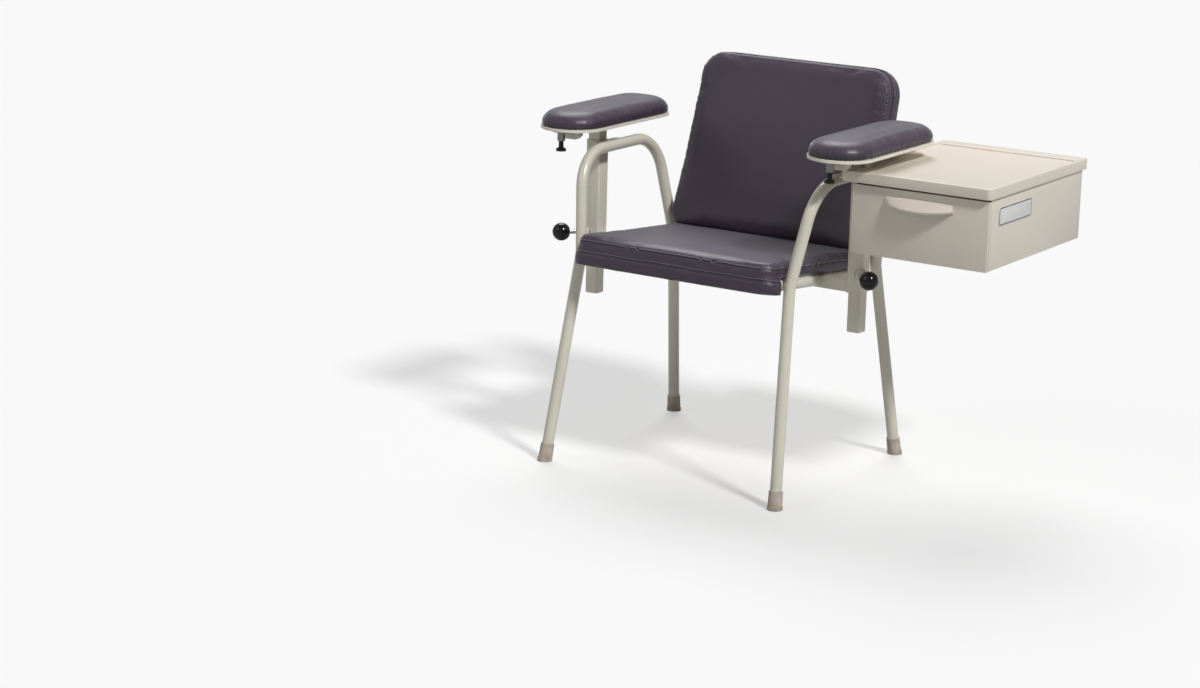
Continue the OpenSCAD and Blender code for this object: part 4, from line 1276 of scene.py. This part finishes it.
@dataclass
class SeatCushion:
    """The seat: a crowned pad with piped edges and a rolled front."""

    tilt: float = 5.5
    plane_height: float = 436.7
    held_height: float = 0.0128
    roll_end: float = -203.0
    panel: CoverOutline = CoverOutline(
        half_width=249, front=-247, rear=172, front_radius=42, rear_radius=16, flare=0.03
    )
    roll: CoverOutline = CoverOutline(
        half_width=254, front=-247, rear=-198, front_radius=42, rear_radius=6, flare=0.0035
    )

    def plane(self) -> Matrix:
        """The matrix from the shared frame to the seat's own plane."""
        place = Matrix.Translation(chair_point(0, 0, self.plane_height))
        return (place @ Matrix.Rotation(math.radians(-self.tilt), 4, "X")).inverted()

    def build(self, frame: dict, finishes: Finishes) -> None:
        """Builds the cushion and its piping.

        Args:
            finishes: The materials.
        """
        pillow = Pillow("seat_cover", "seat_cushion", self.plane(), self.held_height)
        cover = pillow.make(frame)
        pillow.rumple(size=0.09, depth=0.0008, seed=3.1)
        top = pillow.lay(self.panel.ring(inset=1.2, height=37.4, count=1400))
        crease = pillow.lay(
            self.roll.front_run(inset=1.0, height=12.9, rear=self.roll_end, count=1400)
        )
        pillow.refine(top + crease, reach=0.009)
        pillow.pucker(top, wave=0.016, reach=0.014, depth=0.0007, seed=1.7)
        pillow.pucker(crease, wave=0.013, reach=0.012, depth=0.0011, seed=5.2)
        pillow.press(top, width=0.0021, depth=0.0017)
        pillow.press(crease, width=0.003, depth=0.0028)
        settle(cover, COVER_ANGLE)
        pillow.stain([top, crease], width=0.0026)
        hand_over(cover, finishes.vinyl, "frame", ["seat_cushion"])
        self._trim(pillow, finishes)

    def _trim(self, pillow: Pillow, finishes: Finishes) -> None:
        """Sews the piping and the hem along the seams.

        Args:
            pillow: The finished cover.
            finishes: The materials.
        """
        rim = pillow.lay(self.panel.ring(inset=1.3, height=37.6, count=560), lift=0.0001)
        cord = round_cord("seat_top_piping", rim, radius=0.0012)
        hand_over(cord, finishes.piping, "frame")
        mid = pillow.lay(
            self.roll.front_run(inset=1.0, height=14.2, rear=self.roll_end, count=700),
            lift=0.0002,
        )
        mid = wander(mid, size=0.0012, wave=0.06, seed=2.2)
        cord = round_cord("seat_roll_piping", mid, radius=0.0011, closed=False)
        hand_over(cord, finishes.piping, "frame")
        low = pillow.lay(
            self.roll.front_run(inset=1.5, height=-14.5, rear=self.roll_end, count=700),
            lift=-0.0002,
        )
        low = wander(low, size=0.0034, wave=0.045, seed=8.4)
        cord = round_cord("seat_hem", low, radius=0.0016, closed=False)
        hand_over(cord, finishes.vinyl, "frame")


@dataclass
class BackCushion:
    """The back: a crowned panel with a hood behind its top."""

    lean: float = 73.5
    corner_y: float = 180.0
    corner_z: float = 419.4
    held_height: float = 0.0128
    piping: float = 0.0011
    panel: CoverOutline = CoverOutline(
        half_width=241, front=-446, rear=-36.6, front_radius=58, rear_radius=34, flare=0.056
    )

    def plane(self) -> Matrix:
        """The matrix from the shared frame to the back's own plane."""
        place = Matrix.Translation(chair_point(0, self.corner_y, self.corner_z))
        turn = Matrix.Rotation(math.radians(self.lean), 4, "X")
        return (place @ turn @ Matrix.Rotation(math.pi, 4, "Z")).inverted()

    def build(self, frame: dict, finishes: Finishes) -> None:
        """Builds the cushion and its piping.

        Args:
            finishes: The materials.
        """
        pillow = Pillow("back_cover", "back_cushion", self.plane(), self.held_height)
        cover = pillow.make(frame)
        pillow.settle_edge(start=-75.0, end=-41.0, drop=6.0)
        pillow.rumple(size=0.12, depth=0.0008, seed=9.3)
        edge = pillow.lay(self.panel.ring(inset=0.6, height=34.6, count=1400))
        second = pillow.lay(self.panel.ring(inset=1.0, height=13.6, count=1400))
        pillow.refine(edge + second, reach=0.009)
        pillow.pucker(edge, wave=0.02, reach=0.016, depth=0.0006, seed=4.4)
        pillow.press(edge, width=0.0021, depth=0.0015)
        pillow.press(second, width=0.0024, depth=0.0018)
        settle(cover, COVER_ANGLE)
        pillow.stain([edge, second], width=0.0024)
        hand_over(cover, finishes.vinyl, "frame", ["back_cushion"])
        rim = pillow.lay(self.panel.ring(inset=0.6, height=34.8, count=560), lift=0.0001)
        cord = round_cord("back_front_piping", rim, self.piping)
        hand_over(cord, finishes.piping, "frame")
        rim = pillow.lay(
            self.panel.front_run(inset=1.0, height=12.6, rear=-60, count=560), lift=0.0001
        )
        cord = round_cord("back_rear_piping", rim, self.piping, closed=False)
        hand_over(cord, finishes.piping, "frame")


@dataclass
class ArmPad:
    """One arm's soft oval pad."""

    side: Side
    board_z: float
    outline: CoverOutline = CoverOutline(
        half_width=73.5, front=-165.5, rear=220.5, front_radius=72, rear_radius=60
    )

    def plane(self) -> Matrix:
        """The matrix from the shared frame to the pad board's underside."""
        place = chair_point(ARM_X * self.side.value, ARM_Y, self.board_z)
        return Matrix.Translation(place).inverted()

    def build(self, frame: dict, finishes: Finishes) -> None:
        """Builds the pad.

        Args:
            finishes: The materials.
        """
        word = self.side.word
        pillow = Pillow(
            f"arm_pad_cover_{word}", f"arm_pad_{word}", self.plane(),
            flat_below=0.0075, voxel=0.0045, inset=0.0015, cap=0.0028,
        )
        cover = pillow.make(frame)
        pillow.rumple(size=0.06, depth=0.0006, seed=2.0 + self.side.value)
        fold = pillow.lay(self.outline.ring(inset=0.2, height=13.5, count=900))
        hem = pillow.lay(self.outline.ring(inset=0.6, height=7.6, count=900))
        pillow.refine(fold + hem, reach=0.006)
        pillow.pucker(hem, wave=0.011, reach=0.016, depth=0.0009, seed=3.0 * self.side.value)
        pillow.press(fold, width=0.0026, depth=0.0007)
        settle(cover, COVER_ANGLE)
        pillow.stain([hem], width=0.003)
        hand_over(cover, finishes.vinyl, f"pad_{word}", [f"arm_pad_{word}"])


# Trim


def lofted(name: str, rings: Sequence[Sequence[Vector]]) -> bpy.types.Object:
    """Skins closed rings of equal size into one shell with flat ends.

    Args:
        name: The piece's name.
        rings: Points in the shared frame, ring by ring.

    Returns:
        The closed mesh.
    """
    size = len(rings[0])
    points = [place for ring in rings for place in ring]
    faces: list[tuple[int, ...]] = []
    for row in range(len(rings) - 1):
        for k in range(size):
            a, b = row * size + k, row * size + (k + 1) % size
            faces.append((a, b, b + size, a + size))
    faces.append(tuple(range(size)))
    last = (len(rings) - 1) * size
    faces.append(tuple(last + k for k in reversed(range(size))))
    mesh = bpy.data.meshes.new(name)
    mesh.from_pydata(points, [], faces)
    piece = bpy.data.objects.new(name, mesh)
    bpy.context.scene.collection.objects.link(piece)
    return piece


@dataclass
class WingHandle:
    """The drawer's pull: a wing-shaped cup, open below for the fingers. Millimetres."""

    middle: float = 506.0
    face: float = -97.1
    half_width: float = 76.5
    bow: float = 26.5
    top: float = 656.0
    low: float = 630.2
    lift: float = 6.5
    wall: float = 3.2
    lip: float = 6.0
    lip_round: float = 1.2
    end_depth: float = 3.6
    end_drop: float = 1.2
    swell: float = 1.6
    steps: int = 56

    def _ring(self, share: float) -> list[Vector]:
        """One section of the wing.

        Args:
            share: -1 at the right end, 1 at the left end.

        Returns:
            The section's closed outline.
        """
        across = abs(share)
        reach = self.end_depth + (self.bow - self.end_depth) * (1 - across ** 2.4) ** 0.9
        low = self.low + self.lift * across ** 2
        top = self.top - self.end_drop * across ** 4
        fall = top - low - self.lip
        outer: list[tuple[float, float]] = []
        for k in range(9):
            t = k / 8
            swell = math.sin(math.pi * t) * self.swell * (1 - across ** 3)
            outer.append((reach * t ** 1.08, top - fall * t ** 1.25 + swell))
        middle = self.wall / 2
        for k in range(1, 7):
            angle = math.pi * k / 6
            drop = (self.lip - self.lip_round) * (1 - k / 6) - self.lip_round * math.sin(angle)
            outer.append((reach - middle + middle * math.cos(angle), low + self.lip_round + drop))
        inner: list[tuple[float, float]] = []
        for k in range(1, 8):
            t = 1 - k / 7
            depth = max(0.0, (reach - self.wall) * t ** 1.05)
            inner.append((depth, (top - self.wall * 1.3) - fall * t ** 1.25))
        x = self.middle + self.half_width * share
        return [chair_point(x, self.face - d, z) for d, z in outer + inner]

    def build(self, finishes: Finishes) -> None:
        """Builds the handle.

        Args:
            finishes: The materials.
        """
        rings = [self._ring(-1 + 2 * k / self.steps) for k in range(self.steps + 1)]
        ends = (rings[0][0].x, rings[-1][0].x)

        def on_end(edge: bmesh.types.BMEdge) -> bool:
            """Tells whether an edge runs round one of the handle's flat ends.

            Args:
                edge: The edge.

            Returns:
                Whether it does.
            """
            flat = any(abs(f.normal.x) > 0.95 and len(f.verts) > 6 for f in edge.link_faces)
            there = any(abs(edge.verts[0].co.x - x) < SAME_POINT for x in ends)
            return len(edge.link_faces) == 2 and flat and there

        piece = lofted("drawer_wing_handle", rings)
        with editing(piece, "EDGE"):
            pick_edges(piece, on_end)
            bpy.ops.mesh.bevel(offset=0.0008, segments=3)
        settle(piece, 40)
        hand_over(piece, finishes.handle_plastic, "drawer", ["drawer_handle"])


# How many points a weld's ripple has, and how much of the bead's radius it takes
RIPPLE_STEPS = 4
RIPPLE_DEPTH = 0.14


def bead(
    name: str, path: Sequence[Vector], radius: float, closed: bool, ripple: float = 0.0016
) -> bpy.types.Object:
    """Lays one weld bead with its row of ripples.

    Args:
        name: The piece's name.
        path: The joint's line, in the shared frame.
        radius: The bead's radius in metres.
        closed: Whether it runs all round.
        ripple: Length of one ripple in metres.

    Returns:
        The bead's mesh.
    """
    ends = list(path) + ([path[0]] if closed else [])
    dense: list[Vector] = []
    for a, b in zip(ends, ends[1:]):
        parts = max(1, round((b - a).length / (ripple / RIPPLE_STEPS)))
        dense.extend(a.lerp(b, k / parts) for k in range(parts))
    if not closed:
        dense.append(ends[-1].copy())
    turns = [(k % RIPPLE_STEPS) / RIPPLE_STEPS for k in range(len(dense))]
    swell = [1 - RIPPLE_DEPTH + RIPPLE_DEPTH * math.cos(2 * math.pi * t) for t in turns]
    return round_cord(name, dense, radius, closed, 1, swell)


@dataclass
class SideWelds:
    """The beads that join one side's bracket, sleeve, boss and crossbar. Millimetres."""

    side: Side
    sleeve_face: float = 313.4
    stub_y: tuple[float, float] = (-34.0, -7.8)
    stub_z: tuple[float, float] = (424.9, 451.1)
    boss_radius: float = 12.9
    corner_reach: float = 24.3
    corner_fold: float = 25.9

    def _place(self, x: float, y: float, z: float) -> Vector:
        """Finds a drawing place on this side of the chair.

        Args:
            x: Millimetres outwards from the chair's middle.
            y: Millimetres towards the back.
            z: Millimetres above the floor.

        Returns:
            The place in the shared frame.
        """
        return chair_point(x * self.side.value, y, z)

    def _plate(self) -> list[bpy.types.Object]:
        """Beads along the upper bracket, on the sleeve and on the tube.

        Returns:
            The beads.
        """
        under = [self._place(313.2, y, 669.6) for y in (-38.0, -3.8)]
        tube = [self._place(302.6, y, 669.8) for y in (-63.0, 21.0)]
        return [bead("bead", under, 0.0016, False), bead("bead", tube, 0.0017, False)]

    def _stub(self) -> list[bpy.types.Object]:
        """The bead round the lower bracket's end.

        Returns:
            The bead.
        """
        (y0, y1), (z0, z1) = self.stub_y, self.stub_z
        corners = ((y0, z0), (y1, z0), (y1, z1), (y0, z1))
        end = [self._place(self.sleeve_face, y, z) for y, z in corners]
        return [bead("bead", end, 0.0015, True)]

    def _boss(self) -> list[bpy.types.Object]:
        """The bead round the clamp's boss, over the sleeve's corner.

        Returns:
            The bead.
        """
        ring: list[Vector] = []
        for k in range(72):
            angle = 2 * math.pi * k / 72
            out = self.boss_radius * math.cos(angle)
            reach = min(self.corner_reach, self.corner_fold - abs(out))
            x = ARM_X + (reach + out) / math.sqrt(2)
            y = ARM_Y + (-reach + out) / math.sqrt(2)
            ring.append(self._place(x, y, CLAMP_Z + self.boss_radius * math.sin(angle)))
        return [bead("bead", ring, 0.0013, True)]

    def build(self, finishes: Finishes) -> None:
        """Builds this side's beads as one piece.

        Args:
            finishes: The materials.
        """
        beads = self._plate() + self._stub() + self._boss()
        piece = join(f"weld_beads_{self.side.word}", beads)
        hand_over(piece, finishes.weld, "frame")


@dataclass
class StudThread:
    """The clamp stud's thread between the boss and the ball. Millimetres."""

    side: Side
    start: float = 40.6
    end: float = 57.8
    pitch: float = 1.5
    radius: float = 4.85

    def build(self, finishes: Finishes) -> None:
        """Builds the thread.

        Args:
            finishes: The materials.
        """
        turns = (self.end - self.start) / self.pitch
        points: list[Vector] = []
        steps = int(turns * 24)
        for k in range(steps + 1):
            angle = 2 * math.pi * turns * k / steps
            along = self.start + (self.end - self.start) * k / steps
            out = self.radius * math.cos(angle)
            x = ARM_X + (along + out) / math.sqrt(2)
            y = ARM_Y + (-along + out) / math.sqrt(2)
            z = CLAMP_Z + self.radius * math.sin(angle)
            points.append(chair_point(x * self.side.value, y, z))
        piece = round_cord(
            f"stud_thread_{self.side.word}", points, radius=0.00045, closed=False, steps=1
        )
        hand_over(piece, finishes.zinc_steel, f"clamp_{self.side.word}")


@dataclass(frozen=True)
class EasedNode:
    """A sheet-metal or board node whose edges are eased, so that they catch the light."""

    node: str
    width: float
    segments: int = 2
    angle: float = 40.0


EASED_NODES: tuple[EasedNode, ...] = (
    EasedNode("cabinet_top", 2.2, 3),
    EasedNode("drawer_front", 1.4, 3),
    EasedNode("cabinet_shell", 0.5, 2),
    EasedNode("arm_sleeve_left", 0.6),
    EasedNode("arm_sleeve_right", 0.6),
    EasedNode("upper_bracket_left", 0.7),
    EasedNode("upper_bracket_right", 0.7),
    EasedNode("pad_plate_left", 0.7),
    EasedNode("pad_plate_right", 0.7),
    EasedNode("pivot_block_left", 0.8),
    EasedNode("pivot_block_right", 0.8),
    EasedNode("pad_board_left", 1.2, 3),
    EasedNode("pad_board_right", 1.2, 3),
)


def ease_edges(frame: dict, finishes: Finishes) -> None:
    """Stands eased copies in for the plain nodes.

    Args:
        finishes: The materials.
    """
    slots = node_slots(frame)
    for plan in EASED_NODES:
        piece = copy_node(frame["nodes"][plan.node], plan.node + "_eased")
        with editing(piece, "FACE"):
            bpy.ops.mesh.select_all(action="SELECT")
            bpy.ops.mesh.dissolve_limited(angle_limit=math.radians(0.6))
        add_modifier(
            piece, "BEVEL", width=plan.width / MM_PER_M, segments=plan.segments,
            limit_method="ANGLE", angle_limit=math.radians(plan.angle), miter_outer="MITER_ARC",
            use_clamp_overlap=True,
        )
        apply_modifiers(piece)
        settle(piece, 32)
        slot = slots[plan.node]
        hand_over(piece, finishes.by_slot[slot], node_body(frame, plan.node), [plan.node])


def node_body(frame: dict, node: str) -> str:
    """Finds the body that carries a node.

    Args:
        node: The node's name.

    Returns:
        The body's name.
    """
    for body, nodes in frame["record"]["behaviour"]["bodies"].items():
        if node in nodes:
            return body
    raise KeyError(node)


@dataclass
class BlankPlate:
    """The small blank plate on the cabinet's outer side, sizes in millimetres."""

    x: float = 661.2
    y0: float = -52.0
    y1: float = 100.0
    z0: float = 613.6
    z1: float = 653.4
    corner: float = 8.0
    thick: float = 1.0
    line_inset: float = 1.6
    face_inset: float = 3.8

    def build(self, finishes: Finishes) -> None:
        """Builds the rim and the raised face of the plate.

        Args:
            finishes: The materials.
        """
        base = self._slab("side_plate_base", 0.0, 0.0, self.thick)
        hand_over(base, finishes.plate_face, "frame")
        half = self.thick * 0.5
        line = self._slab("side_plate_line", self.line_inset, half, self.thick * 0.65)
        hand_over(line, finishes.plate_rim, "frame")
        face = self._slab("side_plate_face", self.face_inset, half, self.thick * 0.95)
        hand_over(face, finishes.plate_face, "frame")

    def _slab(self, name: str, inset: float, lift: float, thick: float) -> bpy.types.Object:
        """Models a thin rounded plate standing on the cabinet's side.

        Args:
            name: The piece's name.
            inset: How far it is drawn in from the plate's edge.
            lift: How far it stands off the side.
            thick: Its thickness.

        Returns:
            The plate.
        """
        middle = chair_point(self.x + lift + thick / 2, (self.y0 + self.y1) / 2,
                             (self.z0 + self.z1) / 2)
        deselect()
        bpy.ops.mesh.primitive_cube_add(size=1, location=middle)
        piece = bpy.context.object
        piece.name = name
        piece.scale = (
            thick / MM_PER_M,
            (self.y1 - self.y0 - 2 * inset) / MM_PER_M,
            (self.z1 - self.z0 - 2 * inset) / MM_PER_M,
        )
        bpy.ops.object.transform_apply(location=False, rotation=False, scale=True)
        with editing(piece, "EDGE"):
            pick_edges(piece, lambda e: abs((e.verts[0].co - e.verts[1].co).normalized().x) > 0.9)
            bpy.ops.mesh.bevel(offset=max(0.5, self.corner - inset) / MM_PER_M, segments=6)
            pick_faces(piece, lambda f: f.normal.x > 0.9)
            bpy.ops.mesh.bevel(offset=0.25 / MM_PER_M, segments=2)
        settle(piece, 40)
        return piece


# Studio


@dataclass(frozen=True)
class Lamp:
    """A far lamp: where it shines from, its strength and how wide it looks in degrees."""

    name: str
    shines_from: tuple[float, float, float]
    strength: float
    angle: float


@dataclass
class Studio:
    """Camera, light and floor."""

    camera_place: tuple[float, float, float] = (3053.261, -5093.540, 1740.240)
    look: tuple[float, float, float] = (-0.53636074, 0.808056, -0.24364453)
    roll: float = 1.2959
    lens: float = 84.011
    lamps: tuple[Lamp, ...] = (
        Lamp("key", (0.66, -0.22, 0.71), 2.3, 9.0),
        Lamp("front_left", (-0.50, -0.66, 0.56), 0.3, 40.0),
        Lamp("rear_top", (-0.34, 0.50, 0.79), 1.6, 35.0),
    )
    world_strength: float = 0.15
    mirrored_strength: float = 0.5
    floor_size: float = 90.0
    floor_drop: float = 0.0002
    floor_tone: Colour = (0.5, 0.5, 0.5, 1.0)
    floor_lift: float = 0.395

    def build(self) -> None:
        """Builds the camera, the lights and the floor."""
        self._camera()
        self._lights()
        self._floor()

    def _camera(self) -> None:
        """Places the camera where the photograph was taken."""
        data = bpy.data.cameras.new("studio_camera")
        data.sensor_width = 36.0
        data.lens = self.lens
        data.clip_start, data.clip_end = 0.1, 200.0
        camera = bpy.data.objects.new("studio_camera", data)
        bpy.context.scene.collection.objects.link(camera)
        camera.location = chair_point(*self.camera_place)
        camera.rotation_mode = "QUATERNION"
        aim = Vector(self.look).to_track_quat("-Z", "Y")
        camera.rotation_quaternion = aim @ Quaternion((0, 0, 1), math.radians(self.roll))
        bpy.context.scene.camera = camera

    def _lights(self) -> None:
        """Adds the lamps and an even surround."""
        for lamp in self.lamps:
            data = bpy.data.lights.new(lamp.name, "SUN")
            data.energy = lamp.strength
            data.angle = math.radians(lamp.angle)
            sun = bpy.data.objects.new(lamp.name, data)
            bpy.context.scene.collection.objects.link(sun)
            sun.rotation_mode = "QUATERNION"
            sun.rotation_quaternion = Vector(lamp.shines_from).to_track_quat("Z", "Y")
        world = bpy.data.worlds.new("studio_surround")
        bpy.context.scene.world = world
        world.use_nodes = True
        w = Wiring(world.node_tree)
        world.node_tree.nodes.clear()
        out = w.add("OutputWorld")
        ground = w.add("Background")
        path = w.add("LightPath")
        strengths = (self.world_strength, self.mirrored_strength)
        mirrored = w.remap(path.outputs["Is Glossy Ray"], given=strengths)
        level = w.add("MapRange")
        level.inputs["To Max"].default_value = 1.0
        w.join(mirrored, level.inputs["To Min"])
        w.join(w.seen_directly(path), level.inputs["Value"])
        w.join(level.outputs["Result"], ground.inputs["Strength"])
        w.join(ground.outputs[0], out.inputs[0])

    def _floor(self) -> None:
        """Lays a wide pale floor that keeps the chair's shadow."""
        deselect()
        bpy.ops.mesh.primitive_grid_add(
            x_subdivisions=4, y_subdivisions=4, size=self.floor_size,
            location=(0, 0, -self.floor_drop),
        )
        floor = bpy.context.object
        floor.name = "studio_floor"
        material = bpy.data.materials.new("studio_floor")
        material.use_nodes = True
        material.node_tree.nodes.clear()
        w = Wiring(material.node_tree)
        out = w.add("OutputMaterial")
        matte = w.add("BsdfDiffuse", Roughness=0.0)
        matte.inputs["Color"].default_value = self.floor_tone
        glow = w.add("Emission")
        lift = w.times(w.seen_directly(w.add("LightPath")), self.floor_lift)
        w.join(lift, glow.inputs["Strength"])
        both = w.add("AddShader")
        w.join(matte.outputs[0], both.inputs[0])
        w.join(glow.outputs[0], both.inputs[1])
        w.join(both.outputs[0], out.inputs["Surface"])
        dress(floor, material)


def main() -> None:
    """Loads the frame and dresses the chair piece by piece."""
    logging.basicConfig(level=logging.INFO, format="%(name)s: %(message)s")
    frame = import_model()
    bpy.context.scene.view_settings.view_transform = "Standard"
    Studio().build()
    finishes = Finishes()
    finishes.dress_nodes(frame)
    SeatCushion().build(frame, finishes)
    BackCushion().build(frame, finishes)
    ArmPad(Side.LEFT, 723.5).build(frame, finishes)
    ArmPad(Side.RIGHT, 711.5).build(frame, finishes)
    WingHandle().build(finishes)
    ease_edges(frame, finishes)
    BlankPlate().build(finishes)
    for side in Side:
        SideWelds(side).build(finishes)
        StudThread(side).build(finishes)


if __name__ == "__main__":
    main()
